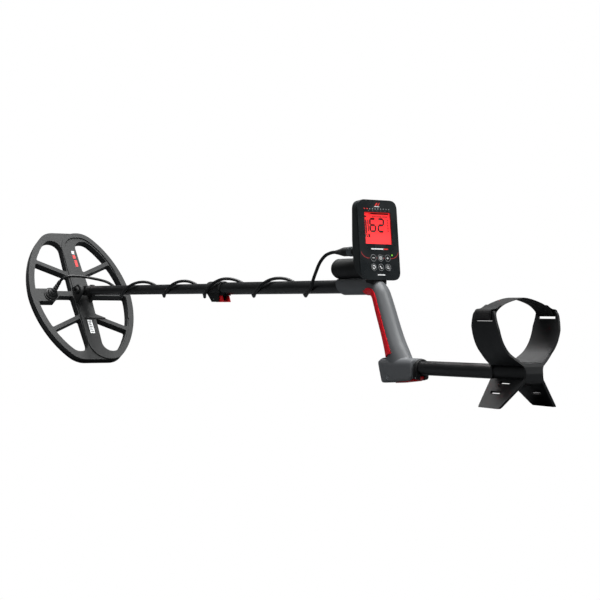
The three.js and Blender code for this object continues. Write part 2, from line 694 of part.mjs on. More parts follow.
function handleShells() {
  const outside = join(cut(handleLoft(0), gripBand(-1.9, 3, 2.5)), block());
  const grip = handlePath().slice(2);
  const inside = join(
    handleLoft(-WALL, grip.slice(0, -1)),
    turnedY(rod(BORE, SLEEVE.front + 5, SLEEVE.back - 2)).add(turnedY(rod(BORE, -962, -860))),
    sidePlate(blockOutline(3), -14, 14),
    turnedY(rod(BORE, -1090, -1008), 0, REAR_TUBE.height),
  );
  const slantedCut = sidePlate([[-850, 20], [-870.5, 20], [-893, -20], [-850, -20]], -20, 20);
  const batterySeat = turnedY(rod(BATTERY.radius + GAP, -970, -850), 0, BATTERY.height);
  const screws = SCREWS.map((screw) => handleScrew(screw, GAP));
  const shell = cut(outside, inside, slantedCut, batterySeat, ...screws);
  const leftHalf = box([-40, -GAP / 2], [-1100, -850], [-170, 60]);
  const rightHalf = box([GAP / 2, 40], [-1100, -850], [-170, 60]);
  return [shell.intersect(leftHalf), shell.intersect(rightHalf)];
}

function handleGroup() {
  const handle = new THREE.Group();
  const [left, right] = handleShells();
  handle.add(part('handle_left_shell', left, HANDLE_PLASTIC));
  handle.add(part('handle_right_shell', right, HANDLE_PLASTIC));
  handle.add(part('grip_pad', cut(gripBand(-1.5, 0.8), padEnds()), RED_PLASTIC));
  SCREWS.forEach((screw) => handle.add(part(screw.name, handleScrew(screw, 0), STEEL)));
  const { outer, inner, front, back } = UPPER_TUBE;
  handle.add(part('upper_shaft_tube', turnedY(pipe(outer, inner, back, front)), TUBE_COATING));
  return handle;
}

// Keeps the two ends of the grip pad clear of the sleeve and of the block.
function padEnds() {
  const start = box([-30, 30], [PAD.front - GAP, PAD.front + 10], [-40, 40]);
  const top = BLOCK.top + GAP;
  const end = sidePlate([[-990, top], [-1010, top], [-1030, top + 7], [-1060, top + 7], [-1060, top - 20],
    [-990, top - 20]], -30, 30);
  return join(start, sidePlate(blockOutline(-GAP), -30, 30), end);
}

// ---------------------------------------------------------------- battery

function batteryGroup() {
  const group = new THREE.Group();
  const { radius, height, front, joint, back } = BATTERY;
  const housing = turnedY(
    [[0, back], [radius, back], [radius, joint - GAP], [radius - 1.9, joint - GAP],
      [radius - 1.9, back + 2], [0, back + 2]],
    0,
    height,
  );
  group.add(part('battery_housing', housing, BLACK_PLASTIC));
  group.add(part('battery_cell', turnedY(rod(CELL.radius, CELL.back, CELL.front), 0, height), CELL_WRAP));
  group.add(part('battery_spring', batterySpring(), STEEL));
  const cap = new THREE.Group();
  cap.name = 'battery_cap_hinge';
  cap.position.set(0, joint, height);
  const depth = front - joint;
  const dome = [[0, depth - 2.4], [radius - 3, depth - 2.4], [radius - 3, -6], [radius - 2.3, -6],
    [radius - 2.3, 0], [radius, 0], [radius, depth - 7], [radius - 2, depth - 2.8], [radius - 6, depth],
    [0, depth]];
  cap.add(part('battery_cap', turnedY(dome), BLACK_PLASTIC));
  group.add(cap);
  return group;
}

function batterySpring() {
  const turns = 3;
  const perTurn = 8;
  const [from, to] = [CELL.front + 0.9, BATTERY.front - 3.6];
  const points = [];
  for (let i = 0; i <= turns * perTurn; i += 1) {
    const angle = (i / perTurn) * 2 * Math.PI;
    const y = from + ((to - from) * i) / (turns * perTurn);
    points.push(new THREE.Vector3(6 * Math.cos(angle), y, 6 * Math.sin(angle) + BATTERY.height));
  }
  return tubeAlong(points, 0.6, 5);
}

function tubeAlong(points, radius, sides) {
  const section = [];
  for (let i = 0; i < sides; i += 1) {
    const angle = (i / sides) * 2 * Math.PI;
    section.push([radius * Math.cos(angle), radius * Math.sin(angle)]);
  }
  const path = new THREE.CatmullRomCurve3(points);
  return solid(
    new THREE.ExtrudeGeometry(shapeOf(section), {
      steps: points.length - 1,
      extrudePath: path,
      bevelEnabled: false,
    }),
  );
}

// ---------------------------------------------------------------- pod

const podOutline = (inset) =>
  roundedRectangle(-POD.half + inset, POD.half - inset, POD.bottom + inset, POD.top - inset, 15 - inset);

// The rear case's outer form, thinner towards its top and sloped away over the handle.
function podForm(inset, front = -BEZEL_DEPTH - GAP) {
  const side = [...POD_BACK.map(([y, z]) => [y, z + inset]), [74, front]];
  return plate(podOutline(inset), -30, front).intersect(sidePlate(side, -POD.half - 1, POD.half + 1));
}

const SOCKET_RADIUS = 8.6;

// Turns a solid from the pod's frame into the shaft frame.
function inShaftFrame(body) {
  const frame = new THREE.Matrix4()
    .makeRotationX(THREE.MathUtils.degToRad(POD.lean))
    .setPosition(...POD.at);
  return solid(part('moved', body, POD_PLASTIC).geometry.applyMatrix4(frame));
}

function inPodFrame(body) {
  const frame = new THREE.Matrix4()
    .makeRotationX(THREE.MathUtils.degToRad(POD.lean))
    .setPosition(...POD.at)
    .invert();
  return solid(part('moved', body, POD_PLASTIC).geometry.applyMatrix4(frame));
}

const keyPlaces = [];
for (const [row, rowName] of [[0, 'upper'], [1, 'lower']]) {
  for (const [column, columnName] of [[-1, 'left'], [0, 'middle'], [1, 'right']]) {
    keyPlaces.push({
      name: `key_${rowName}_${columnName}`,
      x: column * KEY.pitchX + KEY.shift,
      y: KEY.firstRow - row * KEY.pitchY,
    });
  }
}
const LED = { x: 24.8, y: -17.5, radius: 1.1 };
const POD_SCREWS = [['pod_screw_left', -30], ['pod_screw_right', 30]];
const POD_SCREW_Y = 58;

function podCase() {
  const hollow = podForm(POD_WALL, 0);
  const socketHole = inPodFrame(turnedY(rod(SOCKET_RADIUS + GAP - 1.2, -975, -935), PLUG.x, PLUG.z));
  const screwHoles = POD_SCREWS.map(([, x]) => turnedZ(rod(2.1, -16, -10), x, POD_SCREW_Y, 12));
  return cut(podForm(0), hollow, socketHole, ...screwHoles);
}

function bezel() {
  const face = plate(podOutline(0), -BEZEL_DEPTH, 0);
  const window = plate(roundedRectangle(-LCD.half, LCD.half, 0, LCD.height, 1.5), -4, 1);
  const keyHoles = keyPlaces.map(({ x, y }) => turnedZ(rod(KEY.radius + GAP, -4, 1), x, y));
  const ledHole = turnedZ(rod(LED.radius + 0.2, -4, 1), LED.x, LED.y, 12);
  return cut(face, window, ledHole, ...keyHoles);
}

function podKeys() {
  return keyPlaces.map(({ name, x, y }) => {
    const key = new THREE.Group();
    key.name = `${name}_slide`;
    key.position.set(x, y, 0);
    const dome = [[0, -2.8], [KEY.radius, -2.8], [KEY.radius, 0.3], [KEY.radius - 0.8, 0.8], [0, 0.9]];
    key.add(part(name, turnedZ(dome), RUBBER));
    return key;
  });
}

function podGroup() {
  const pod = new THREE.Group();
  pod.name = 'pod_frame';
  pod.position.set(...POD.at);
  pod.rotation.x = THREE.MathUtils.degToRad(POD.lean);
  pod.add(part('pod_rear_case', podCase(), POD_PLASTIC));
  pod.add(part('pod_bezel', bezel(), POD_PLASTIC));
  const windowOutline = roundedRectangle(-LCD.half + GAP, LCD.half - GAP, GAP, LCD.height - GAP, 1.3);
  pod.add(part('display_window', plate(windowOutline, -2.2, -0.3), CLEAR));
  pod.add(part('lcd_module', box([-29, 29], [-4, 55], [-5.6, -2.9]), LCD_RED));
  pod.add(part('key_mat', plate(roundedRectangle(-22.5, 23, -45, -13.5, 4), -5.4, -3.9), RUBBER));
  pod.add(part('circuit_board', box([-33, 33], [-43, 60], [-7.6, -6]), BOARD_GREEN));
  const speaker = turnedZ([[0, -12.8], [8, -12.8], [13, -10.6], [13, -8.2], [0, -8.2]], 8, 30);
  pod.add(part('speaker', speaker, BLACK_PLASTIC));
  pod.add(part('status_led', turnedZ(rod(LED.radius, -4, -0.2), LED.x, LED.y, 12), CLEAR));
  POD_SCREWS.forEach(([name, x]) => {
    const screw = turnedZ([[0, -16.2], [2.6, -16.2], [3, -15.2], [1.8, -15.2], [1.8, -11], [0, -11]],
      x, POD_SCREW_Y, 12);
    pod.add(part(name, screw, STEEL));
  });
  podKeys().forEach((key) => pod.add(key));
  return pod;
}

// The wedge that carries the pod on the handle's bend, behind the battery tube.
function podFoot() {
  const blank = box([-13, 13], [-981, BATTERY.back - GAP], [3, 38]);
  const pod = inShaftFrame(podForm(-GAP));
  const podFace = inShaftFrame(plate(podOutline(-GAP), -3.4, 4));
  return cut(blank, handleLoft(GAP), pod, podFace);
}

// ---------------------------------------------------------------- plug

function plugGroup() {
  const { x, z, tip, body, ring, socket } = PLUG;
  const group = new THREE.Group();
  const socketProfile = [[0, -967], [SOCKET_RADIUS - 1.6, -967], [SOCKET_RADIUS - 1.6, -959.2],
    [SOCKET_RADIUS, -959.2], [SOCKET_RADIUS, socket - 2.6], [6.6, socket - 2.6], [6.6, -950], [0, -950]];
  group.add(part('coil_socket', turnedY(socketProfile, x, z), BLACK_PLASTIC));
  const plugBody = [[0, -949], [5.9, -949], [5.9, ring - 1], [7.4, ring - 1], [7.4, body - GAP],
    [0, body - GAP]];
  group.add(part('plug_body', turnedY(plugBody, x, z), BLACK_PLASTIC));
  const boot = [[0, body], [7.2, body]];
  for (let rib = 1; rib <= 3; rib += 1) {
    const y = body + rib * 5;
    boot.push([7.4 - rib, y], [6.6 - rib, y + 0.6], [6.6 - rib, y + 1.6], [7 - rib, y + 2.2]);
  }
  boot.push([3.5, tip - GAP], [0, tip - GAP]);
  group.add(part('plug_boot', turnedY(boot, x, z), RUBBER));
  const collar = new THREE.Group();
  collar.name = 'plug_ring_hinge';
  collar.position.set(x, socket, z);
  const grip = [[6.3, 0], [8, 0], [8, 2], [7.5, 2.4], [7.5, 5], [8, 5.4], [8, 8], [7.5, 8.4], [7.5, 11],
    [8, 11.4], [8, ring - socket - 1.6], [6.3, ring - socket - 1.6], [6.3, 0]];
  collar.add(part('plug_ring', turnedY(grip), STEEL));
  group.add(collar);
  return group;
}

// ---------------------------------------------------------------- rear shaft and arm cuff

// The right half of the cuff's outer line, from the wing's tip down to the waist.
const WING = [[62, -36], [62.8, -46], [61.9, -58], [58.6, -73], [52.6, -87], [43.5, -98.8], [31, -109],
  [19, -117.2]];
const WAIST = [[19, -117.2], [17, -121.5], [16.2, -127], [16.6, -132], [18.3, -137.3]];
const LEG = { half: 18.3, top: -137.3, foot: 56.3, thickness: 4 };
const SADDLE_RADIUS = 15.2;
const REAR_WALL = 4.4;

// An open line given a thickness towards its left side, as a closed outline.
function thickened(line, thickness) {
  const normals = line.map((p, i) => {
    const [before, after] = [line[Math.max(i - 1, 0)], line[Math.min(i + 1, line.length - 1)]];
    return new THREE.Vector2(before[1] - after[1], after[0] - before[0]).normalize();
  });
  const inner = line.map(([x, y], i) => [x + normals[i].x * thickness, y + normals[i].y * thickness]);
  return [...line, ...inner.reverse()];
}

function cuffSection() {
  const right = WING.map(([x, z]) => [x, z]).reverse();
  const left = WING.map(([x, z]) => [-x, z]);
  const outside = [...left, ...right];
  return thickened(outside, CUFF.thickness);
}

function cuffSide() {
  const { front, back, foot } = CUFF;
  return rounded(
    [[front - 15, -38.5], [front - 9, -60], [front - 8.5, -100], [front - 2, -118], [front, -128],
      [front - 2, -138], [front - 16.2, foot + 3.2], [front - 19.5, foot - 1.5], [back + 16.5, foot - 1.5],
      [back + 14, foot + 2], [back + 1, -138], [back, -128],
      [back + 2, -118], [back + 10, -100], [back + 11, -66], [back + 18, -38.5]],
    6,
    3,
  );
}

function leg(side) {
  const bottom = CUFF.foot - 8;
  const run = (LEG.foot - LEG.half) / (LEG.top - CUFF.foot);
  const low = LEG.half + run * (LEG.top - bottom);
  const line = [[11.5, -134.8], [16.5, -136], [LEG.half, LEG.top], [low, bottom]];
  const outline = thickened(line, -LEG.thickness);
  return crossPlate(outline.map(([x, z]) => [x * side, z]), CUFF.back, CUFF.front);
}

// The narrow end walls that join the wings to the legs at the front and the rear.
function waistWalls() {
  const left = WAIST.map(([x, z]) => [-x, z]).reverse();
  const outline = [...WAIST, [14, -141.6], [-14, -141.6], ...left];
  return join(
    crossPlate(outline, CUFF.front - 4, CUFF.front),
    crossPlate(outline, CUFF.back, CUFF.back + REAR_WALL),
  );
}

// The ground's plane, as a block below it, in the shaft frame.
function groundLine() {
  const lean = THREE.MathUtils.degToRad(COIL_LEAN);
  const [y, z] = [-COIL_HALF_LENGTH + COIL_SHIFT, SKID_BOTTOM];
  const heel = [y * Math.cos(lean) - z * Math.sin(lean), y * Math.sin(lean) + z * Math.cos(lean)];
  const middle = (CUFF.front + CUFF.back) / 2;
  return { heel, foot: [middle, CUFF.foot], lean: Math.atan2(heel[1] - CUFF.foot, heel[0] - middle) };
}

function belowGround() {
  const { foot, lean } = groundLine();
  const rise = 100 * Math.tan(lean);
  return sidePlate(
    [[foot[0] - 100, foot[1] - rise], [foot[0] + 100, foot[1] + rise], [foot[0] + 100, -230],
      [foot[0] - 100, -230]],
    -90,
    90,
  );
}

// Two slots square through each leg; one leg's are the other's turned half a turn about the middle.
const LEG_SLOTS = [[-141.2, 0.5], [-155, 6]];

function legSlots() {
  const run = (LEG.foot - LEG.half) / (LEG.top - CUFF.foot);
  const down = new THREE.Vector2(run, -1).normalize().multiplyScalar(2.3);
  const through = new THREE.Vector2(1, run).normalize().multiplyScalar(6);
  const middle = (CUFF.front + CUFF.back) / 2;
  const tools = [];
  for (const side of [-1, 1]) {
    for (const [z, shift] of LEG_SLOTS) {
      const centre = new THREE.Vector2(LEG.half + run * (LEG.top - z), z);
      const corners = [[-1, -1], [1, -1], [1, 1], [-1, 1]].map(([a, b]) =>
        centre.clone().addScaledVector(down, a).addScaledVector(through, b));
      const y = middle - side * shift;
      tools.push(crossPlate(corners.map((v) => [v.x * side, v.y]), y - 10.5, y + 10.5));
    }
  }
  return tools;
}

// The strap's slot in each wing, and the height at which the strap lies in it.
const SLOTS = [
  { side: 1, low: -49.4, high: -43.1, level: -44.5 },
  { side: -1, low: -53.1, high: -50.5, level: -50.9 },
];

function armrest() {
  const { height } = REAR_TUBE;
  const saddle = turnedY(rod(SADDLE_RADIUS, CUFF.back, CUFF.front), 0, height);
  const body = join(
    crossPlate(cuffSection(), CUFF.back, CUFF.front),
    saddle,
    waistWalls(),
    leg(-1),
    leg(1),
  );
  const middle = (CUFF.front + CUFF.back) / 2;
  const strapSlots = SLOTS.map(({ side, low, high }) =>
    box([side * 60 - 20, side * 60 + 20], [STRAP.back - 1, STRAP.front + 1], [low, high]),
  );
  const bore = turnedY(rod(REAR_TUBE.outer + GAP, CUFF.back + REAR_WALL, -1200), 0, height);
  const screwHole = turnedZ([[0, -150], [4.9, -150], [4.9, -139.2], [2.3, -139.2], [2.3, -120], [0, -120]],
    0, middle, 12);
  const cuffInside = crossPlate(cuffHollow(), CUFF.back - 1, CUFF.front + 1);
  return cut(body, cuffInside, bore, screwHole, ...strapSlots, ...legSlots(), belowGround())
    .intersect(sidePlate(cuffSide(), -90, 90));
}

// The free space inside the cuff: it trims the cradle where it would stand up inside.
function cuffHollow() {
  const t = CUFF.thickness;
  return thickened([...WING.map(([x, z]) => [-x, z]), ...WING.map(([x, z]) => [x, z]).reverse()], t)
    .slice(WING.length * 2)
    .concat([[-50, 0], [50, 0]]);
}

// The strap comes up inside one wing, crosses over the arm, goes down inside the other wing, and
// its two ends come out through the slots and fold back up outside.
function strapHalf({ side, level }) {
  const folded = [[44.5, -31.1], [49.5, -34.2], [54, -36.2], [58.5, -37.2], [62.2, -37.7], [63.9, -40.4],
    [64.2, level + 1.9]];
  const through = [[63.6, level + 0.2], [61, level], [56.8, level + 0.2]];
  const over = [[55.6, level + 2.6], [54.9, -41.2], [52.3, -37.6], [46.8, -33], [38.5, -28.3], [28, -24.6],
    [18, -21.9], [9, -20.1]];
  return [...folded, ...through, ...over].map(([x, z]) => [x * side, z]);
}

function strapLine() {
  const [right, left] = SLOTS.map(strapHalf);
  return [...right, [0, -19.2], ...left.reverse()];
}

function strap() {
  const outline = thickened(strapLine(), STRAP.thickness);
  return crossPlate(outline, STRAP.back, STRAP.front);
}

function rearGroup() {
  const rear = new THREE.Group();
  const { outer, inner, front, back, height } = REAR_TUBE;
  const middle = (CUFF.front + CUFF.back) / 2;
  const screwHole = turnedZ(rod(2.3, height - 20, height - 2), 0, middle, 12);
  const tube = turnedY(pipe(outer, inner, back, front), 0, height).subtract(screwHole);
  rear.add(part('rear_shaft_tube', tube, TUBE_COATING));
  const plug = [[0, back - 3], [outer - 1, back - 3], [outer, back - 2], [outer, back - GAP],
    [inner - GAP, back - GAP], [inner - GAP, back + 14], [0, back + 14]];
  rear.add(part('rear_tube_plug', turnedY(plug, 0, height), BLACK_PLASTIC));
  rear.add(part('armrest', armrest(), BLACK_PLASTIC));
  const screw = turnedZ([[0, -142.2], [4.4, -142.2], [4.4, -139.6], [2, -139.6], [2, -131], [0, -131]],
    0, middle, 12);
  rear.add(part('armrest_screw', screw, STEEL));
  rear.add(part('arm_strap', strap(), WEBBING));
  return rear;
}

// ---------------------------------------------------------------- cable

// A smooth value between a list's entries, for a place counted in entries.
function between(list, place) {
  const i = Math.min(Math.max(Math.floor(place), 1), list.length - 3);
  const t = place - i;
  const [a, b, c, d] = list.slice(i - 1, i + 3);
  return b + 0.5 * t * (c - a + t * (2 * a - 5 * b + 4 * c - d + t * (3 * (b - c) + d - a)));
}

function wrapRadius(y) {
  const next = WRAP_RADIUS.findIndex(([at]) => at <= y);
  if (next <= 0) return WRAP_RADIUS[next < 0 ? WRAP_RADIUS.length - 1 : 0][1];
  const [[y0, r0], [y1, r1]] = WRAP_RADIUS.slice(next - 1, next + 1);
  return r0 + ((r1 - r0) * (y0 - y)) / (y0 - y1);
}

// The cable's place after a number of turns round the shaft; it crosses under the shaft at each
// whole turn, and then comes up on the left.
function wrapPoint(turn) {
  const y = between(UNDER_SHAFT, turn);
  const angle = 2 * Math.PI * turn;
  const radius = wrapRadius(y);
  return new THREE.Vector3(-radius * Math.sin(angle), y, WRAP_LIFT - radius * Math.cos(angle));
}

function wraps(from, to) {
  const count = Math.round((to - from) * POINTS_PER_TURN);
  const points = [];
  for (let i = 0; i <= count; i += 1) {
    points.push(wrapPoint(from + ((to - from) * i) / count));
  }
  return points;
}

const vectors = (list) => list.map((p) => new THREE.Vector3(...p));

// The whole cable's route; the coil's hinge and the front clamp each divide it.
const beforeClamp = wraps(FIRST_TURN, SPLIT_TURN);
const route = [...vectors(COIL_LEAD), ...beforeClamp, ...wraps(SPLIT_TURN, LAST_TURN).slice(1),
  ...vectors(PLUG_LEAD)];
const cable = new THREE.CatmullRomCurve3(route);
const CABLE_PARTS = [
  ['cable_coil_span', 0, COIL_LEAD.length + 2],
  ['cable_lower_wraps', COIL_LEAD.length + 2, COIL_LEAD.length + beforeClamp.length - 1],
  ['cable_upper_wraps', COIL_LEAD.length + beforeClamp.length - 1, route.length - 1],
];

// The stretch of the cable between two of its route's points.
class Stretch extends THREE.Curve {
  constructor(first, last) {
    super();
    this.first = first / (route.length - 1);
    this.last = last / (route.length - 1);
  }

  getPoint(t) {
    return cable.getPoint(this.first + (this.last - this.first) * t);
  }

  getTangent(t) {
    return cable.getTangent(this.first + (this.last - this.first) * t);
  }
}

function cableGroup() {
  const group = new THREE.Group();
  const section = [];
  for (let i = 0; i < 8; i += 1) {
    const angle = (i / 8) * 2 * Math.PI;
    section.push([CABLE_RADIUS * Math.cos(angle), CABLE_RADIUS * Math.sin(angle)]);
  }
  for (const [name, first, last] of CABLE_PARTS) {
    const stretch = new Stretch(first, last - (last < route.length - 1 ? 0.035 : 0));
    const options = { steps: last - first, extrudePath: stretch, bevelEnabled: false };
    group.add(part(name, new THREE.ExtrudeGeometry(shapeOf(section), options), RUBBER));
  }
  return group;
}

// ---------------------------------------------------------------- the whole detector

const shaftFrame = new THREE.Group();
shaftFrame.name = 'shaft_frame';
shaftFrame.add(coilGroup());
shaftFrame.add(lowerShaft());
shaftFrame.add(clamps());
shaftFrame.add(handleGroup());
shaftFrame.add(batteryGroup());
shaftFrame.add(podGroup());
shaftFrame.add(part('pod_foot', podFoot(), BLACK_PLASTIC));
shaftFrame.add(plugGroup());
shaftFrame.add(rearGroup());
shaftFrame.add(cableGroup());
shaftFrame.rotation.x = -groundLine().lean;

const detector = new THREE.Group();
detector.add(shaftFrame);
detector.updateMatrixWorld(true);
const extent = new THREE.Box3().setFromObject(detector, true);
shaftFrame.position.y = -(extent.min.y + extent.max.y) / 2;
shaftFrame.position.z = -extent.min.z;
detector.updateMatrixWorld(true);

export default detector;
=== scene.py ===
"""Looks for the metal detector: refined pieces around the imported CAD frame.

Shapes are written in millimetres in the CAD's own frames, which are found again from the packed
joints: the shaft frame has its origin on the coil's hinge and +Y along the front shaft.
"""

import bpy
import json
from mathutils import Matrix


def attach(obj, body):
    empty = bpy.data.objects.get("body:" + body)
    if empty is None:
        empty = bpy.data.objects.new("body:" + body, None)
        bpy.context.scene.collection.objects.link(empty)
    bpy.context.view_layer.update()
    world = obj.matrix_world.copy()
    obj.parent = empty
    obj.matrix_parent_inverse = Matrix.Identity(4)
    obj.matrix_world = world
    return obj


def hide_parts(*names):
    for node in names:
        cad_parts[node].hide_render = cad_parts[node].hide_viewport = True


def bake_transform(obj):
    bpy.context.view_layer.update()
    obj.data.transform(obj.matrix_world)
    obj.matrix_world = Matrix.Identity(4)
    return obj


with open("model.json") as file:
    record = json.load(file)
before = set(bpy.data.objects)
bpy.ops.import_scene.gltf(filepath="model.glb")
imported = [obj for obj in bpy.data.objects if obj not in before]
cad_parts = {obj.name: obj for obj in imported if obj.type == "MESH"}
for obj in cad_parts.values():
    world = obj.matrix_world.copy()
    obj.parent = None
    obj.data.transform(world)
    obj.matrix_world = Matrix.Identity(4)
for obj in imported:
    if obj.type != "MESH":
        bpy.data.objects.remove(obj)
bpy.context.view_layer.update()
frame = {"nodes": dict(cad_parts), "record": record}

import json
from functools import partial
from math import atan2, ceil, cos, hypot, pi, radians, sin, tan

import bmesh
import bpy
from mathutils import Matrix, Vector

# ---- frames

MM = 0.001
GAP = 0.3
COIL_LEAN, COIL_SHIFT = radians(58.6), 1.25
POD_LEAN, POD_AT = radians(84.1), (0, -978.2, 67.3)


def joint(name):
    return next(j for j in frame["record"]["behaviour"]["joints"] if j["name"] == name)


def shaft_frame():
    """The front shaft's frame in millimetres, with +Y along it and +X to the right."""
    right = Vector((1, 0, 0))
    along = Vector(joint("shaft_slide")["axis"]).normalized()
    turn = Matrix((right, along, right.cross(along))).transposed().to_4x4()
    return Matrix.Translation(joint("coil_tilt")["pos_m"]) @ turn @ Matrix.Scale(MM, 4)


SHAFT = shaft_frame()
COIL = SHAFT @ Matrix.Rotation(COIL_LEAN, 4, "X")
DISC = COIL @ Matrix.Translation((0, COIL_SHIFT, 0))
POD = SHAFT @ Matrix.Translation(POD_AT) @ Matrix.Rotation(POD_LEAN, 4, "X")


def linked(name, data):
    """A new object in the scene for a mesh, a light or a camera."""
    obj = bpy.data.objects.new(name, data)
    bpy.context.collection.objects.link(obj)
    return obj


# ---- camera

CAMERA_AT = (-1679.81, -3122.42, -43.03)
YAW, PITCH, ROLL = radians(35.43), radians(0.429), radians(0.345)
LENS, SENSOR = 102.55, 36


def make_camera():
    ahead = Vector((sin(YAW) * cos(PITCH), cos(YAW) * cos(PITCH), sin(PITCH)))
    level = Vector((cos(YAW), -sin(YAW), 0))
    upright = level.cross(ahead)
    right = cos(ROLL) * level + sin(ROLL) * upright
    up = -sin(ROLL) * level + cos(ROLL) * upright
    turn = Matrix((right, up, -ahead)).transposed().to_4x4()
    camera = linked("camera", bpy.data.cameras.new("camera"))
    camera.data.lens = LENS
    camera.data.sensor_width = SENSOR
    camera.data.clip_end = 100
    camera.matrix_world = SHAFT @ Matrix.Translation(CAMERA_AT) @ turn @ Matrix.Scale(1 / MM, 4)
    bpy.context.scene.camera = camera


# ---- outlines

def clip(points, a, b, c):
    """What is left of a polygon on the side of a line where a * x + b * y <= c."""
    kept = []
    for p, q in zip(points, points[1:] + points[:1]):
        sp = a * p[0] + b * p[1] - c
        sq = a * q[0] + b * q[1] - c
        if sp <= 0:
            kept.append(p)
        if sp * sq < 0:
            t = sp / (sp - sq)
            kept.append((p[0] + t * (q[0] - p[0]), p[1] + t * (q[1] - p[1])))
    return kept


def rounded(points, radius, steps=6, least=20, closed=True):
    """Rounds each corner sharper than a number of degrees, keeping clear of its neighbours."""
    result = []
    for i, p in enumerate(points):
        corner = Vector(p)
        before = Vector(points[i - 1]) - corner
        after = Vector(points[(i + 1) % len(points)]) - corner
        is_end = not closed and i in (0, len(points) - 1)
        turn = 0 if is_end else pi - before.angle(after)
        if turn < radians(least):
            result.append(tuple(p))
            continue
        reach = min(radius * tan(turn / 2), before.length * 0.48, after.length * 0.48)
        start = corner + before.normalized() * reach
        end = corner + after.normalized() * reach
        for k in range(steps + 1):
            t = k / steps
            result.append(tuple(start * (1 - t) ** 2 + corner * 2 * t * (1 - t) + end * t * t))
    return result


def eased(points, radius, turn=radians(6)):
    """Rounds a convex outline's corners by a radius: the outline moved in by it and out again."""
    kept = list(points)
    for p, q in zip(points, points[1:] + points[:1]):
        length = hypot(q[0] - p[0], q[1] - p[1])
        nx, ny = (q[1] - p[1]) / length, (p[0] - q[0]) / length
        kept = clip(kept, nx, ny, nx * p[0] + ny * p[1] - radius)
    kept = [p for p, q in zip(kept, kept[1:] + kept[:1]) if hypot(q[0] - p[0], q[1] - p[1]) > 0.01]
    result = []
    for i, (x, y) in enumerate(kept):
        before, after = kept[i - 1], kept[(i + 1) % len(kept)]
        start = atan2(before[0] - x, y - before[1])
        sweep = (atan2(x - after[0], after[1] - y) - start) % (2 * pi)
        steps = max(1, ceil(sweep / turn))
        for k in range(steps + 1):
            angle = start + sweep * k / steps
            result.append((x + radius * cos(angle), y + radius * sin(angle)))
    return result


def rectangle(left, right, low, high, radius=0, steps=8):
    corners = [(left, low), (right, low), (right, high), (left, high)]
    return rounded(corners, radius, steps) if radius else corners


def circle(radius, x=0, y=0, count=48):
    return [(x + radius * cos(2 * pi * i / count), y + radius * sin(2 * pi * i / count))
            for i in range(count)]


def catmull_rom(a, b, c, d, t):
    return b + 0.5 * t * (c - a + t * (2 * a - 5 * b + 4 * c - d + t * (3 * (b - c) + d - a)))


def spline(points, per_span=6):
    """A smooth line through an open line of points."""
    line = [Vector(p) for p in points]
    line = [2 * line[0] - line[1], *line, 2 * line[-1] - line[-2]]
    result = [catmull_rom(*line[i - 1:i + 3], k / per_span)
              for i in range(1, len(line) - 2) for k in range(per_span)]
    return result + [line[-2]]


def thickened(line, thickness):
    """An open line given a thickness towards its left side, as a closed outline."""
    inner = []
    for i, p in enumerate(line):
        before, after = line[max(i - 1, 0)], line[min(i + 1, len(line) - 1)]
        normal = Vector((before[1] - after[1], after[0] - before[0])).normalized()
        inner.append((p[0] + normal.x * thickness, p[1] + normal.y * thickness))
    return [tuple(p) for p in line] + inner[::-1]


def mirrored(points):
    return [(-x, y) for x, y in reversed(points)]


def tabled(table, place):
    """The value at a place, along straight lines through a table in falling order of place."""
    if place >= table[0][0]:
        return table[0][1]
    for (y0, r0), (y1, r1) in zip(table, table[1:]):
        if place >= y1:
            return r0 + (r1 - r0) * (y0 - place) / (y0 - y1)
    return table[-1][1]


# ---- meshes

SIDE = Matrix(((0, 0, 1, 0), (1, 0, 0, 0), (0, 1, 0, 0), (0, 0, 0, 1)))
CROSS = Matrix(((1, 0, 0, 0), (0, 0, 1, 0), (0, 1, 0, 0), (0, 0, 0, 1)))
ALONG_Y = Matrix.Identity(4)
ALONG_X = Matrix.Rotation(-pi / 2, 4, "Z")
ALONG_Z = Matrix.Rotation(pi / 2, 4, "X")


def to_object(bm):
    bmesh.ops.recalc_face_normals(bm, faces=bm.faces)
    mesh = bpy.data.meshes.new("shape")
    bm.to_mesh(mesh)
    bm.free()
    return linked("shape", mesh)


def skin(rings, turn=ALONG_Y, loop=False):
    """A closed surface over rings of points. A ring may be a single point; a loop has no ends."""
    bm = bmesh.new()
    rows = [[bm.verts.new(p) for p in ring] for ring in rings]
    for end in () if loop else (rows[0][::-1], rows[-1]):
        if len(end) > 1:
            bm.faces.new(end)
    count = max(len(row) for row in rows)
    for a, b in zip(rows, rows[1:] + rows[:1] if loop else rows[1:]):
        for i in range(count):
            j = (i + 1) % count
            corners = dict.fromkeys((a[i % len(a)], a[j % len(a)], b[j % len(b)], b[i % len(b)]))
            if len(corners) > 2:
                bm.faces.new(list(corners))
    bm.transform(turn)
    return to_object(bm)


def plate(points, low, high, turn=ALONG_Y):
    """A flat plate: an outline in X and Y between two heights, which turn can lay another way."""
    return skin([[(x, y, z) for x, y in points] for z in (low, high)], turn)


def box(x, y, z):
    return plate(rectangle(*x, *y), *z)


def turned(profile, turn=ALONG_Y, place=(0, 0, 0), sides=64, soft=0.0):
    """A body of revolution about Y, from [radius, y] points; a closed profile makes a ring."""
    ring = profile[0] == profile[-1]
    points = profile[:-1] if ring else profile
    if soft:
        points = rounded(points, soft, 3, closed=ring)
    rings = [[(x, y, z) for x, z in (circle(radius, count=sides) if radius else [(0, 0)])]
             for radius, y in points]
    return skin(rings, Matrix.Translation(place) @ turn, ring)


def rod(radius, start, end):
    return [(0, start), (radius, start), (radius, end), (0, end)]


def pipe(outer, inner, start, end):
    return [(inner, start), (outer, start), (outer, end), (inner, end), (inner, start)]


def lathed(profile, height=0, soft=0.0, y=0, x=0):
    """A large body of revolution along the shaft, with a smooth round."""
    return turned(profile, ALONG_Y, (x, y, height), 96, soft)


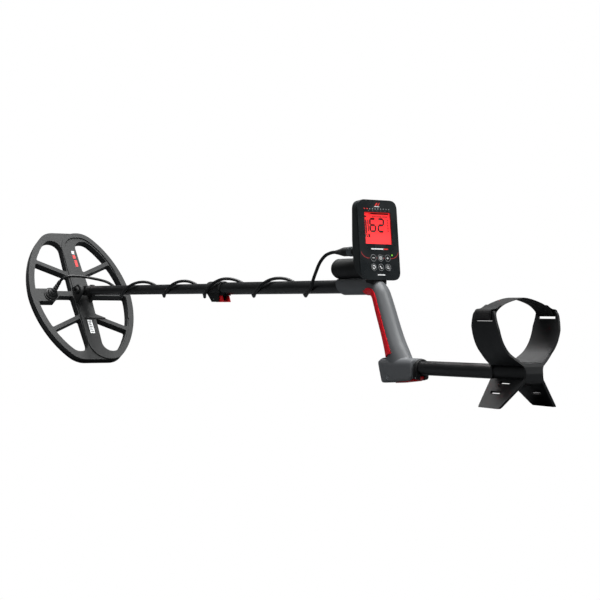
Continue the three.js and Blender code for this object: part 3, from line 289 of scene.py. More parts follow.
def bore(start, end, height=0):
    """The body that a shaft's hole takes away."""
    return lathed(rod(BORE, start, end), height)


def hole_across(radius, reach, y=0, z=0, sides=48):
    return turned(rod(radius, -reach, reach), ALONG_X, (0, y, z), sides)


def tube(points, radius, sides=16):
    """A round tube along points, with frames carried along without twist."""
    rings = []
    normal = None
    for i, point in enumerate(points):
        ahead = (points[min(i + 1, len(points) - 1)] - points[max(i - 1, 0)]).normalized()
        if normal is None:
            normal = ahead.orthogonal().normalized()
        normal = (normal - ahead * normal.dot(ahead)).normalized()
        across = ahead.cross(normal)
        rings.append([point + radius * (normal * x + across * y) for x, y in circle(1, count=sides)])
    return skin(rings)


def applied(obj):
    """Applies the object's modifiers."""
    graph = bpy.context.evaluated_depsgraph_get()
    mesh = bpy.data.meshes.new_from_object(obj.evaluated_get(graph))
    obj.modifiers.clear()
    obj.data = mesh
    return obj


def combine(operation, body, *tools):
    for tool in tools:
        modifier = body.modifiers.new("combine", "BOOLEAN")
        modifier.operation = operation
        modifier.solver = "EXACT"
        modifier.object = tool
        applied(body)
        bpy.data.objects.remove(tool)
    return body


cut, join, common = [partial(combine, kind) for kind in ("DIFFERENCE", "UNION", "INTERSECT")]


def group(*objects):
    """Objects put in one mesh as they are."""
    bm = bmesh.new()
    for obj in objects:
        bm.from_mesh(obj.data)
        bpy.data.objects.remove(obj)
    return to_object(bm)


def soften(body, width, segments=3, angle=30):
    """Rounds the edges sharper than an angle."""
    weld = body.modifiers.new("weld", "WELD")
    weld.merge_threshold = 0.01
    bevel = body.modifiers.new("soften", "BEVEL")
    bevel.width = width
    bevel.segments = segments
    bevel.limit_method = "ANGLE"
    bevel.angle_limit = radians(angle)
    bevel.miter_outer = "MITER_ARC"
    return applied(body)


def remeshed(obj, voxel, smoothing):
    """Melts joined forms into one skin with soft inner corners."""
    remesh = obj.modifiers.new("remesh", "REMESH")
    remesh.mode = "VOXEL"
    remesh.voxel_size = voxel
    smooth = obj.modifiers.new("smooth", "SMOOTH")
    smooth.factor = 0.5
    smooth.iterations = smoothing
    return applied(obj)


# ---- pieces


def piece(obj, name, material, node=None, body="handle", place=SHAFT, angle=35):
    """Names a finished shape, puts it in its frame and hands it to a CAD body."""
    obj.name = obj.data.name = name
    obj.data.transform(place)
    dress(obj, material)
    for polygon in obj.data.polygons:
        polygon.use_smooth = True
    obj.data.set_sharp_from_angle(angle=radians(angle))
    obj.modifiers.new("weighted", "WEIGHTED_NORMAL").keep_sharp = True
    applied(obj)
    if body:
        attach(obj, body)
    if node:
        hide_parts(node)
    return obj


def dress(obj, material):
    obj.data.materials.clear()
    obj.data.materials.append(material)


def dress_nodes(material, *names):
    """Gives a material to CAD nodes that stay as they are."""
    for name in names:
        dress(frame["nodes"][name], material)


# ---- materials

def linear(hex_colour):
    parts = [int(hex_colour[i:i + 2], 16) / 255 for i in (0, 2, 4)]
    return [c / 12.92 if c <= 0.04045 else ((c + 0.055) / 1.055) ** 2.4 for c in parts] + [1.0]


def add_node(tree, kind, **values):
    """A new node, with values for its settings or for its input sockets."""
    node = tree.nodes.new(kind)
    for key, value in values.items():
        if hasattr(node, key):
            setattr(node, key, value)
        else:
            node.inputs[key.replace("_", " ")].default_value = value
    return node


class Finish:
    """A material under construction: a Principled shader and the nodes that feed it."""

    def __init__(self, name, colour, roughness, metallic=0.0, specular=0.5):
        self.material = bpy.data.materials.new(name)
        self.material.use_nodes = True
        self.tree = self.material.node_tree
        self.shader = self.tree.nodes["Principled BSDF"]
        self.colour = linear(colour)
        self.set(Base_Color=self.colour, Roughness=roughness, Metallic=metallic,
                 Specular_IOR_Level=specular)
        self.coords = self.add("ShaderNodeTexCoord").outputs["Object"]
        self.height = None

    def set(self, **values):
        for key, value in values.items():
            self.shader.inputs[key.replace("_", " ")].default_value = value

    def add(self, kind, **values):
        return add_node(self.tree, kind, **values)

    def link(self, source, target):
        self.tree.links.new(source, target)

    def mapped(self, kind, output, settings, **values):
        """A texture node's output, with its coordinates scaled or turned."""
        mapping = self.add("ShaderNodeMapping", **settings)
        self.link(self.coords, mapping.inputs["Vector"])
        node = self.add(kind, **values)
        self.link(mapping.outputs["Vector"], node.inputs["Vector"])
        return node.outputs[output]

    def noise(self, scale, detail, stretch=(1, 1, 1)):
        return self.mapped("ShaderNodeTexNoise", "Fac", {"Scale": stretch},
                           Scale=scale, Detail=detail, Roughness=0.55)

    def ramp(self, source, low, high, first=0.3, last=0.7):
        node = self.add("ShaderNodeMapRange", From_Min=first, From_Max=last, To_Min=low, To_Max=high)
        self.link(source, node.inputs["Value"])
        return node.outputs["Result"]

    def tint(self, source, amount, other=None, first=0.3, last=0.7):
        """Mixes the base colour towards a lighter or other colour where source is high."""
        light = linear(other) if other else [min(c * (1 + amount), 1) for c in self.colour[:3]] + [1]
        dark = self.colour if other else [c * (1 - amount) for c in self.colour[:3]] + [1]
        mix = self.add("ShaderNodeMix", data_type="RGBA")
        self.link(self.ramp(source, 0, 1, first, last), mix.inputs["Factor"])
        mix.inputs[6].default_value = dark
        mix.inputs[7].default_value = light
        self.link(mix.outputs[2], self.shader.inputs["Base Color"])
        return self

    def rough(self, source, low, high):
        self.link(self.ramp(source, low, high), self.shader.inputs["Roughness"])
        return self

    def bump(self, source, depth, strength):
        node = self.add("ShaderNodeBump", Strength=strength, Distance=depth * MM)
        self.link(source, node.inputs["Height"])
        if self.height:
            self.link(self.height, node.inputs["Normal"])
        self.height = node.outputs["Normal"]
        self.link(self.height, self.shader.inputs["Normal"])
        return self


def moulded(name, colour, roughness=0.5, grain=900, depth=0.05, specular=0.5, wear=0.1):
    """Moulded plastic: a fine even spark-eroded grain, and slow changes of shade and gloss."""
    look = Finish(name, colour, roughness, specular=specular)
    slow = look.noise(14, 4)
    look.tint(slow, wear).rough(look.noise(38, 5), roughness - 0.06, roughness + 0.08)
    return look.bump(look.noise(grain, 2), depth, 0.5).bump(slow, 0.25, 0.08).material


def coated_tube(name, colour, roughness):
    """A coated tube: long faint streaks along it, and a light satin orange peel."""
    look = Finish(name, colour, roughness)
    streaks = look.noise(240, 3, (1, 0.04, 1))
    look.tint(streaks, 0.25).rough(look.noise(60, 4, (1, 0.3, 1)), roughness - 0.06, roughness + 0.1)
    return look.bump(streaks, 0.02, 0.4).bump(look.noise(1100, 2), 0.02, 0.4).material


def rubber(name, colour, roughness, grain=1400):
    look = Finish(name, colour, roughness, specular=0.35)
    look.tint(look.noise(25, 4), 0.18).rough(look.noise(70, 4), roughness - 0.1, roughness + 0.1)
    return look.bump(look.noise(grain, 3), 0.06, 0.6).material


def metal(name, colour, roughness=0.3):
    look = Finish(name, colour, roughness, metallic=1.0)
    look.tint(look.noise(60, 4), 0.12)
    look.rough(look.noise(300, 4, (1, 0.1, 1)), roughness - 0.08, roughness + 0.12)
    return look.bump(look.noise(700, 3, (0.1, 1, 1)), 0.015, 0.4).material


def printed(name, colour, roughness=0.5):
    look = Finish(name, colour, roughness)
    return look.tint(look.noise(400, 3), 0.08).bump(look.noise(1500, 2), 0.01, 0.3).material


def webbing(name, colour):
    """Woven nylon tape: crossing threads, from the strap's own UVs in mm."""
    look = Finish(name, colour, 0.85, specular=0.3)
    look.coords = look.add("ShaderNodeUVMap").outputs["UV"]
    crossing = look.add("ShaderNodeMath", operation="MULTIPLY")
    for i, turn in enumerate((radians(45), radians(-45))):
        wave = look.mapped("ShaderNodeTexWave", "Fac", {"Rotation": (0, 0, turn)},
                           Scale=0.32, Distortion=0.6, Detail_Scale=1.5)
        look.link(wave, crossing.inputs[i])
    woven = crossing.outputs["Value"]
    look.tint(woven, 0.45, first=0.1, last=0.8).rough(look.noise(0.6, 4), 0.78, 0.92)
    look.set(Sheen_Weight=0.06, Sheen_Roughness=0.5)
    return look.bump(woven, 0.25, 0.7).material


def glowing(name, colour, strength):
    """A small lamp's lens, with a faint change of shade."""
    look = Finish(name, colour, 0.4)
    look.set(Emission_Color=linear(colour), Emission_Strength=strength)
    return look.tint(look.noise(30, 2), 0.04).material


def graded(name, low_colour, high_colour, low, high, strength):
    """A backlit panel that changes colour along its length, between two heights in metres."""
    look = Finish(name, low_colour, 0.45, specular=0.2)
    split = look.add("ShaderNodeSeparateXYZ")
    look.link(look.coords, split.inputs["Vector"])
    look.tint(split.outputs["Z"], 0, high_colour, low, high)
    look.link(look.shader.inputs["Base Color"].links[0].from_socket, look.shader.inputs["Emission Color"])
    look.set(Emission_Strength=strength)
    return look.material


def clear(name):
    look = Finish(name, "ffffff", 0.04)
    look.set(Transmission_Weight=1.0, IOR=1.05)
    return look.rough(look.noise(60, 3), 0.0, 0.05).material


COIL_PLASTIC = moulded("coil_plastic", "2b2c2c", specular=0.3, wear=0.08)
DARK_PLASTIC = moulded("dark_plastic", "121313", specular=0.35)
CUFF_PLASTIC = moulded("cuff_plastic", "1a1b1c", grain=700, depth=0.06, specular=0.35)
HANDLE_PLASTIC = moulded("handle_plastic", "5e6062", 0.45, specular=0.4, wear=0.06)
POD_PLASTIC = moulded("pod_plastic", "1c2021", 0.4, grain=1000)
PANEL_FILM = moulded("panel_film", "14191b", 0.28, grain=1500, depth=0.02)
TUBE_COATING = coated_tube("tube_coating", "0d0e0f", 0.33)
RED_PLASTIC = moulded("red_plastic", "fb1422", 0.4)
RED_RUBBER = rubber("red_rubber", "ff1426", 0.5)
CABLE_RUBBER = rubber("cable_rubber", "0f1011", 0.45, 800)
BOOT_RUBBER = rubber("boot_rubber", "202122", 0.55)
KEY_RUBBER = rubber("key_rubber", "0c0e0f", 0.5)
STEEL = metal("steel", "b9bcbe")
DARK_METAL = metal("dark_metal", "6d7173", 0.38)
COPPER = metal("copper", "b8703a", 0.35)
STRAP_WEB = webbing("strap_web", "0a0a0c")
LCD_LOW, LCD_HIGH = 0.246, 0.294
LCD_GLOW = graded("lcd_glow", "f83a3c", "e02426", LCD_LOW, LCD_HIGH, 0.72)
LCD_INK = printed("lcd_ink", "200103", 0.7)
WINDOW = clear("window")
BOARD = printed("board", "1c5a34", 0.45)
CELL_WRAP = printed("cell_wrap", "3a6ea5", 0.4)
PRINT_WHITE = printed("print_white", "f0f2f2")
PRINT_RING = printed("print_ring", "8f9395")
PRINT_GREY = printed("print_grey", "b4b8ba")
PRINT_RED = printed("print_red", "ee2a24")
PRINT_DEEP_RED = printed("print_deep_red", "c23030")
PRINT_DARK = printed("print_dark", "24282a", 0.6)
LED_GREEN = glowing("led_green", "7bd435", 1.2)

# ---- cable

UNDER_SHAFT = [14, -150, -314, -459, -621, -778, -942]
WRAP_RADIUS = [(-100, 14.2), (-440, 14.2), (-474, 17.2), (-528, 17.2), (-556, 15.5), (-850, 15.5)]
CABLE_RADIUS = 2.8
FIRST_TURN, SPLIT_TURN, LAST_TURN = 0.72, 3.08, 5.22
POINTS_PER_TURN, CABLE_PER_SPAN = 14, 5
COIL_LEAD = [
    (-62.3, -8.2, 19.6), (-57.5, -15, 25.5), (-47, -20.5, 28.6), (-34, -26, 28.8),
    (-21, -34.5, 27.3), (-9, -46, 24.4), (2, -62, 20.6), (9.4, -78, 15.6),
]
PLUG_LEAD = [
    (-18.6, -825, 12), (-20.6, -836.5, 26.5), (-21.8, -848, 40), (-22, -863, 50.8),
    (-22, -880, 55.3), (-22, -892.6, 55.8),
]


def under_shaft(turn):
    """Where along the shaft the cable crosses under it, between whole turns too."""
    i = min(max(int(turn), 1), len(UNDER_SHAFT) - 3)
    return catmull_rom(*UNDER_SHAFT[i - 1:i + 3], turn - i)


def wraps(first, last):
    """The cable's turns round the shaft, which cross under it at each whole turn."""
    count = round((last - first) * POINTS_PER_TURN)
    points = []
    for i in range(count + 1):
        turn = first + (last - first) * i / count
        y = under_shaft(turn)
        radius = tabled(WRAP_RADIUS, y)
        points.append((-radius * sin(2 * pi * turn), y, 1 - radius * cos(2 * pi * turn)))
    return points


def make_cable():
    before_clamp = wraps(FIRST_TURN, SPLIT_TURN)
    route = COIL_LEAD + before_clamp + wraps(SPLIT_TURN, LAST_TURN)[1:] + PLUG_LEAD
    line = spline(route, CABLE_PER_SPAN)
    hinge_end = (len(COIL_LEAD) + 2) * CABLE_PER_SPAN
    clamp_end = (len(COIL_LEAD) + len(before_clamp) - 1) * CABLE_PER_SPAN
    for name, points, blended in (("cable_coil_span", line[:hinge_end + 1], True),
                                  ("cable_lower_wraps", line[hinge_end:clamp_end + 1], True),
                                  ("cable_upper_wraps", line[clamp_end:], False)):
        if blended:
            points = points[:-1] + [points[-1].lerp(points[-2], 0.12)]
        obj = piece(tube(points, CABLE_RADIUS), name + "_cord", CABLE_RUBBER, name,
                    None if blended else "handle", angle=60)
        if name == "cable_coil_span":
            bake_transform(obj)
        elif blended:
            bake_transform(obj)


# ---- search coil

HALF_WIDTH, CURVE_LENGTH, HALF_LENGTH, POWER, CURVE_POINTS = 114.5, 168.6, 152.5, 1.84, 176
RIM, TOE_RIM, RIM_CURVE = 12.5, 19.5, 15.6
EDGE_RADIUS, RING_RADIUS, PAN_RADIUS = 44, 42, 30
SPINE_HALF, SPINE_TAPER = 20.3, 0.035
SPOKE_HALF, SPOKE_SLOPE, SPOKE_AT_SPINE = 4.4, 0.445, 52
CROSS_MIDDLE, CROSS_HALF = 3.5, 6
OPENING_TIP, TIP_RADIUS, OPENING_RADIUS = 100, 20, 3
WEB_OUTER, WEB_HALF = -62, 15
RING_RAISE, RING_WIDTH = 2.5, 11
COIL_TOP = -19.9
HOUSING_BOTTOM = COIL_TOP - 10.5
BASE_BOTTOM = HOUSING_BOTTOM - GAP - 2.4
SKID_BOTTOM = BASE_BOTTOM - GAP - 3
HUB_HALF = 56
GLAND_X, GLAND_RAISE = -70, 2.6
BOLT_RADIUS, EAR_RADIUS = 4, 12.5


def coil_curve(inset, toe_inset, curve_inset):
    """A superellipse, cut flat at toe and heel, inside the coil's own by three distances."""
    def power(value):
        return (abs(value) ** (2 / POWER)) * (1 if value > 0 else -1)
    angles = [(i + 0.5) / CURVE_POINTS * 2 * pi for i in range(CURVE_POINTS)]
    points = [((HALF_WIDTH - inset) * power(cos(a)), (CURVE_LENGTH - curve_inset) * power(sin(a)))
              for a in angles]
    half_length = HALF_LENGTH - toe_inset
    return clip(clip(points, 0, 1, half_length), 0, -1, half_length)


def coil_outline(inset):
    return eased(coil_curve(inset, inset, inset), EDGE_RADIUS - inset)


def rim_inside(grow=0):
    return coil_curve(RIM - grow, TOE_RIM - grow, RIM_CURVE - grow)


def opening(at_toe, side_x, side_y):
    """One opening: beyond the slanted spoke, or between the spokes."""
    middle = SPOKE_AT_SPINE - SPOKE_SLOPE * SPINE_HALF
    half = SPOKE_HALF * hypot(1, SPOKE_SLOPE)
    points = clip(rim_inside(), -1, -SPINE_TAPER, -SPINE_HALF)
    if at_toe:
        points = clip(points, SPOKE_SLOPE, -1, -(middle + half))
    else:
        points = clip(points, -SPOKE_SLOPE, 1, middle - half)
        points = clip(points, 0, -1, -(CROSS_HALF + CROSS_MIDDLE * side_y))
    far = OPENING_TIP if at_toe else HALF_LENGTH
    outline = [p for p in eased(points, TIP_RADIUS) if p[1] > far]
    outline += [p for p in eased(points, OPENING_RADIUS) if p[1] <= far]
    middle = sum(y for _, y in outline) / len(outline)
    outline.sort(key=lambda p: atan2(p[1] - middle, p[0] - HALF_WIDTH / 2))
    return [(x * side_x, y * side_y) for x, y in outline]


def coil_openings(low, high):
    return group(*[plate(opening(toe, x, y), low, high)
                   for x in (-1, 1) for y in (-1, 1) for toe in (True, False)])


def coil_sheet(low, high, inset=0):
    """A layer of the coil: its outline and openings, with the web that fills one corner."""
    web = plate(rectangle(RIM / 2 - HALF_WIDTH, WEB_OUTER, -WEB_HALF, WEB_HALF, 5), low, high)
    return join(cut(plate(coil_outline(inset), low, high), coil_openings(low - 1, high + 1)), web)


def d_outline(inset, left, corner):
    return eased(clip(coil_curve(inset, inset, inset), -1, 0, -left), corner)


def ear(side):
    foot = COIL_TOP - 1
    arc = [(EAR_RADIUS * cos(i / 24 * pi), EAR_RADIUS * sin(i / 24 * pi)) for i in range(25)]
    return plate(arc + [(-19, foot), (19, foot)], *sorted((side * 12.2, side * 18.2)), SIDE)


def coil_housing():
    raised = COIL_TOP + RING_RAISE
    pocket_top = COIL_TOP - 2.6
    shell = coil_sheet(HOUSING_BOTTOM, COIL_TOP)
    pan = cut(plate(d_outline(RING_WIDTH, -9, PAN_RADIUS), COIL_TOP, raised + 1),
              box((-150, 150), (-HUB_HALF, HUB_HALF), (COIL_TOP - 1, raised + 2)))
    ring = cut(plate(d_outline(0.02, 4 - SPINE_HALF, RING_RADIUS), COIL_TOP - 1, raised), pan,
               coil_openings(COIL_TOP - 2, raised + 1))
    gland = turned(rod(15.5, COIL_TOP - 1, COIL_TOP + GLAND_RAISE), ALONG_Z, (GLAND_X, 0, 0))
    shell = join(shell, ring, gland)
    channel = cut(plate(coil_outline(3), HOUSING_BOTTOM - 1, pocket_top),
                  plate(rim_inside(2.6), HOUSING_BOTTOM - 2, pocket_top + 1))
    cut(shell, channel, box((-13, 13), (-138, 138), (HOUSING_BOTTOM - 1, pocket_top)))
    shell.data.transform(Matrix.Translation((0, COIL_SHIFT, 0)))
    shell = join(shell, ear(-1), ear(1))
    return soften(cut(shell, hole_across(BOLT_RADIUS + GAP, 40)), 0.9)


def gland_boot():
    base = Vector((GLAND_X - 1.2, -0.6, COIL_TOP + 7.8))
    tip = Vector((-62.6, 11.9, COIL_TOP + 36))
    length = (tip - base).length
    profile = [(0, 0), (6.6, 0)]
    for rib in range(1, 5):
        y = rib * length * 0.17
        radius = 6.7 - rib * 0.55
        profile += [(radius, y), (radius - 1, y + 0.8), (radius - 1, y + 2), (radius - 0.3, y + 2.8)]
    profile += [(3.6, length), (0, length)]
    boot = turned(profile, sides=48, soft=0.4)
    turn = Vector((0, 1, 0)).rotation_difference(tip - base).to_matrix().to_4x4()
    boot.data.transform(Matrix.Translation(base) @ turn)
    return cut(boot, box((-100, -40), (-30, 30), (COIL_TOP - 5, COIL_TOP + 11.8)))


def make_coil():
    low = COIL_TOP + GLAND_RAISE + GAP
    gland = turned([(3.4, low), (13.4, low), (13.4, low + 2.4), (10.6, low + 4.2), (9, low + 7),
                    (6.8, low + 8.6), (3.4, low + 8.6), (3.4, low)], ALONG_Z, (GLAND_X, 0, 0), soft=0.8)
    head = [(0, -24), (6.4, -24), (7.6, -22.8), (7.6, -18.5), (BOLT_RADIUS, -18.5),
            (BOLT_RADIUS, 24.5), (0, 24.5)]
    bolt = cut(turned(head, ALONG_X, soft=0.5), plate(circle(4.2, count=6), -25, -22.6, SIDE))
    nut = cut(plate(circle(8, count=6), 18.5, 23.4, SIDE), turned(rod(BOLT_RADIUS + GAP, 18, 24), ALONG_X))
    base = soften(coil_sheet(BASE_BOTTOM, HOUSING_BOTTOM - GAP, 0.6), 0.4, 2)
    skid = soften(coil_sheet(SKID_BOTTOM, BASE_BOTTOM - GAP), 0.9)
    piece(coil_housing(), "coil_shell", COIL_PLASTIC, "coil_housing", "coil", COIL)
    piece(gland_boot(), "gland_strain_relief", BOOT_RUBBER, "gland_boot", "coil", COIL)
    for shape, name, node, place in (
            (base, "coil_base_plate", "coil_base", DISC), (skid, "coil_skid", "skid_plate", DISC),
            (gland, "gland_nut", "cable_gland", DISC),
            (soften(bolt, 0.25, 2), "hinge_bolt", "yoke_bolt", COIL),
            (soften(nut, 0.5), "hinge_nut", "yoke_nut", COIL)):
        piece(shape, name, DARK_PLASTIC, node, "coil", place)
    dress_nodes(COPPER, "transmit_winding", "receive_winding")
    make_coil_labels()


def make_coil_labels():
    """A blank name strip on the toe half and a serial label on the heel half, with no lettering."""
    for name, outline, material in (
            ("toe_mark_white", rectangle(5, 11, 101, 109, 1), PRINT_GREY),
            ("toe_mark_red", rectangle(5, 11, 90, 98, 1), PRINT_DEEP_RED),
            ("toe_mark_red_lower", rectangle(6, 12, 70, 86, 1), PRINT_DEEP_RED),
            ("heel_label", rectangle(-3.5, 7, -91, -59, 0.8), PRINT_WHITE)):
        printed_marks(name, [outline], material, "coil", COIL_TOP - 0.05, 0.17, DISC)
    for i in range(7):
        y = -63 - i * 4.1
        bar = rectangle(-1.5, 5 - i * 5 % 3, y - 0.7, y + 0.7)
        printed_marks(f"heel_label_bar_{i}", [bar], PRINT_DARK, "coil", COIL_TOP + 0.13, 0.05, DISC)


def printed_marks(name, outlines, material, body="handle", level=0.01, thickness=0.08, place=POD):
    """Thin raised prints, joined in one piece."""
    marks = group(*[plate(outline, level, level + thickness) for outline in outlines])
    return piece(marks, name, material, body=body, place=place)


# ---- lower shaft

TUBE_OUTER, TUBE_INNER = 11.1, 9.8
LOWER_OUTER, LOWER_INNER = 9.4, 8


def make_lower_shaft():
    shaft = lathed(pipe(LOWER_OUTER, LOWER_INNER, -590, -34), soft=0.4)
    piece(shaft, "lower_tube", TUBE_COATING, "lower_shaft_tube", "lower_shaft")
    dress_nodes(DARK_PLASTIC, "shaft_end_stop")
    ribs = [(0, -62), (7.6, -62), (7.6, -33.7), (9.8, -33.7)]
    for y in (-31, -27, -23, -19):
        ribs += [(9.8, y - 1.6), (9, y - 1.2), (9, y), (9.8, y + 0.4)]
    ribs += [(9.8, -13), (0, -13)]
    tip = join(turned(ribs), box((-9.3, 9.3), (-16, 0), (-9, 9)), turned(rod(10.4, -9.3, 9.3), ALONG_X))
    cut(tip, hole_across(BOLT_RADIUS + GAP, 12))
    piece(soften(tip, 0.5), "tube_tip", DARK_PLASTIC, "shaft_tip", "lower_shaft")
    for side, name in ((-1, "left"), (1, "right")):
        washer = turned(pipe(9.8, BOLT_RADIUS + GAP, *sorted((side * 9.6, side * 11.9))), ALONG_X, soft=0.4)
        piece(washer, f"hinge_washer_{name}", BOOT_RUBBER, f"friction_washer_{name}", "lower_shaft")


# ---- clamps

REAR_HEIGHT = -126.8
BORE = 11.4
FRONT_PIN = (-505.5, -19.3)
REAR_PIN = (-1083.6, REAR_HEIGHT - 15.1)
PIN_HOLE, PIN_RADIUS = 1.7, 1.4


def clamp_ring(front, back, outer, height):
    profile = [(BORE, back), (outer - 0.8, back), (outer, back + 0.8), (outer, front - 2.4),
               (outer - 2, front), (BORE - 1, front), (BORE - 1, back + 5), (BORE, back + 5), (BORE, back)]
    return lathed(profile, height)


def front_collar():
    lug = rounded([(-483, -8), (-500, -24.2), (-522, -24.2), (-524, -8)], 1.5)
    body = join(clamp_ring(-478, -526, 13.2, 0), plate(lug, -11, 11, SIDE),
                box((-8, 8), (-534.5, -520), (-12.8, -4)))
    cut(body, bore(-560, -477),
        box((-4.9, 4.9), (-527, -488), (-30, -13.9)),
        box((-8.6, 8.6), (-538, -515.3), (-30, -12.8)),
        hole_across(PIN_HOLE, 12, *FRONT_PIN, 24))
    return soften(join(body, lathed(pipe(12.2, 9.7, -499.5, -478.6))), 0.5)


def rear_collar():
    foot = rectangle(-11.6, 11.6, REAR_HEIGHT - 18.4, REAR_HEIGHT, 5)
    body = join(clamp_ring(-1080, -1088.5, 13.6, REAR_HEIGHT), plate(foot, -1088.5, -1080, CROSS))
    cut(body, bore(-1100, -1070, REAR_HEIGHT),
        box((-4.9, 4.9), (-1090, -1079), (-170, REAR_HEIGHT - 12.2)),
        hole_across(PIN_HOLE, 12, *REAR_PIN, 24))
    return soften(body, 0.5)


def front_lever():
    """The cam, its neck and the short channel behind it, in the pin's frame."""
    neck = plate([(0, -5.2), (0, -1), (-13, -2.6), (-13, -5.2)], -4.5, 4.5, SIDE)
    floor = plate(rectangle(-8.2, 8.2, -29.3, -11.2, 1.5), -5.2, -3)
    cheek = rounded([(-11.4, -5.2), (-17.3, 6), (-24.5, 6), (-29.1, -5.2)], 1.2)
    cheeks = [plate(cheek, -8.2, -6.2, SIDE), plate(cheek, 6.2, 8.2, SIDE)]
    lever = join(hole_across(4.2, 4.5), neck, floor, *cheeks)
    return soften(cut(lever, hole_across(PIN_HOLE, 12, sides=24)), 0.5)


def rear_lever():
    """The cam and the wide bar that slopes down under the handle's block, in the pin's frame."""
    neck = plate([(0, -2.6), (0, 1), (4.3, -2.4), (11, -2.9), (11, -5.6), (4, -5)], -4.5, 4.5, SIDE)
    side = [(9.5, -2.7), (9.5, -5.6), (49.5, -9.8), (49.5, -7.4)]
    bar = common(plate(side, -11.5, 11.5, SIDE), plate(rectangle(-11.5, 11.5, 9, 49.6, 4), -12, 0))
    lever = join(hole_across(2.6, 4.5), neck, bar)
    return soften(cut(lever, hole_across(PIN_HOLE, 12, sides=24)), 0.5)


def make_clamps():
    for end, place, half, collar, lever in (("front", FRONT_PIN, 10.8, front_collar(), front_lever()),
                                            ("rear", REAR_PIN, 11.2, rear_collar(), rear_lever())):
        piece(collar, f"{end}_collar", DARK_PLASTIC, f"{end}_clamp_collar")
        pin = turned(rod(PIN_RADIUS, -half, half), ALONG_X, (0, *place), 32, 0.3)
        piece(pin, f"{end}_pin", STEEL, f"{end}_clamp_pin")
        lever.data.transform(Matrix.Translation((0, *place)))
        piece(lever, f"{end}_lever_body", RED_PLASTIC, f"{end}_clamp_lever", f"{end}_lever")


# ---- handle

SLEEVE_FRONT, SLEEVE_BACK, SLEEVE_RADIUS, ELBOW_DEPTH = -869, -958.7, 13.7, 13.9
BEND_RADIUS, BEND_ANGLE, BEND_STEPS = 30, radians(65.5), 5
BLOCK_TOP, BLOCK_BACK, BLOCK_HALF = -112.5, -1079, 17
GRIP = [(20, 16.3, 15.5), (45, 16.6, 16), (66, 17.4, 16.3), (84, 19.4, 16.6), (99, 22.4, 16.8),
        (120, 26, 16.8)]
HANDLE_PER_SPAN, AROUND = 6, 64
PAD_FRONT, PAD_SPREAD, PAD_STEPS = -951.5, [60, 72, 82, 90, 96] + [98.5] * 7, 28
BATTERY_RADIUS, BATTERY_HEIGHT = 16.4, 29.6
SCREWS = [("handle_screw_lower", -1022, -143.4, -1), ("handle_screw_rear", -1048, -141.6, 1)]
SCREW_HEAD = 3


def stations():
    """The handle's centre line: place, direction to its front, half depth and half width."""
    rough = [(SLEEVE_FRONT, 0, 0, SLEEVE_RADIUS, SLEEVE_RADIUS),
             (PAD_FRONT, 0, 0, SLEEVE_RADIUS, SLEEVE_RADIUS),
             (SLEEVE_BACK, 0, 0, ELBOW_DEPTH, ELBOW_DEPTH)]
    for i in range(1, BEND_STEPS + 1):
        turn = i / BEND_STEPS * BEND_ANGLE
        rough.append((SLEEVE_BACK - BEND_RADIUS * sin(turn), BEND_RADIUS * (cos(turn) - 1), turn,
                      ELBOW_DEPTH + 0.3 * i, ELBOW_DEPTH + 0.22 * i))
    y, z, turn, _, _ = rough[-1]
    for distance, depth, width in GRIP:
        rough.append((y - distance * cos(turn), z - distance * sin(turn), turn, depth, width))
    return [(Vector((0, y, z)), Vector((0, sin(turn), -cos(turn))), depth, width)
            for y, z, turn, depth, width in spline(rough, HANDLE_PER_SPAN)]


def section_point(station, angle, grow):
    centre, front, depth, width = station
    return (centre + front * (depth + grow) * cos(angle)
            + Vector((1, 0, 0)) * (width + grow) * sin(angle))


def handle_loft(grow):
    return skin([[section_point(s, i / AROUND * 2 * pi, grow) for i in range(AROUND)] for s in stations()])


def grip_band(inner, outer, widen=0):
    """A band round the front of the grip, between two offsets from the handle's surface."""
    spread = [(-k * HANDLE_PER_SPAN, half) for k, half in enumerate(PAD_SPREAD)]
    line = stations()[HANDLE_PER_SPAN:12 * HANDLE_PER_SPAN + 1]
    rings = []
    for i, station in enumerate(line):
        half = radians(tabled(spread, -i) + widen)
        angles = [-half + 2 * half * k / PAD_STEPS for k in range(PAD_STEPS + 1)]
        rings.append([section_point(station, a, outer) for a in angles]
                     + [section_point(station, a, inner) for a in reversed(angles)])
    return skin(rings)


def pad_ends():
    """Keeps the two ends of the grip pad clear of the sleeve and of the block."""
    top = BLOCK_TOP + GAP
    end = [(-990, top), (-1010, top), (-1030, top + 7), (-1060, top + 7), (-1060, top - 20),
           (-990, top - 20)]
    return [box((-30, 30), (PAD_FRONT - GAP, PAD_FRONT + 10), (-40, 40)),
            plate(block_outline(-GAP), -30, 30, SIDE), plate(end, -30, 30, SIDE)]


def block_outline(inset=0):
    top, back = BLOCK_TOP - inset, BLOCK_BACK + inset
    return rounded([(-1003 - inset, top), (-997 - inset, top - 7), (-1000.5 - inset, -132),
                    (-1007 - inset, -151.6 + inset), (-1014, -152 + inset), (-1030, -148.5 + inset),
                    (back, -143.6 + inset), (back, top)], 5)


def block():
    section = rectangle(-BLOCK_HALF, BLOCK_HALF, -160, BLOCK_TOP, 11)
    body = common(plate(block_outline(), -BLOCK_HALF, BLOCK_HALF, SIDE), plate(section, -1090, -990, CROSS))
    skirt = [(-1024, -146), (-1028, -151.3), (-1077, -146.4), (-1077, -142)]
    return join(body, plate(skirt, -16.6, -12.6, SIDE), plate(skirt, 12.6, 16.6, SIDE))


def screw(side):
    """A screw along X from the middle, with its head towards one side."""
    reach = side * 17.2
    return [(0, reach), (SCREW_HEAD, reach), (SCREW_HEAD, reach - side * 3), (1.7, reach - side * 3),
            (1.7, -side * 12), (0, -side * 12)]


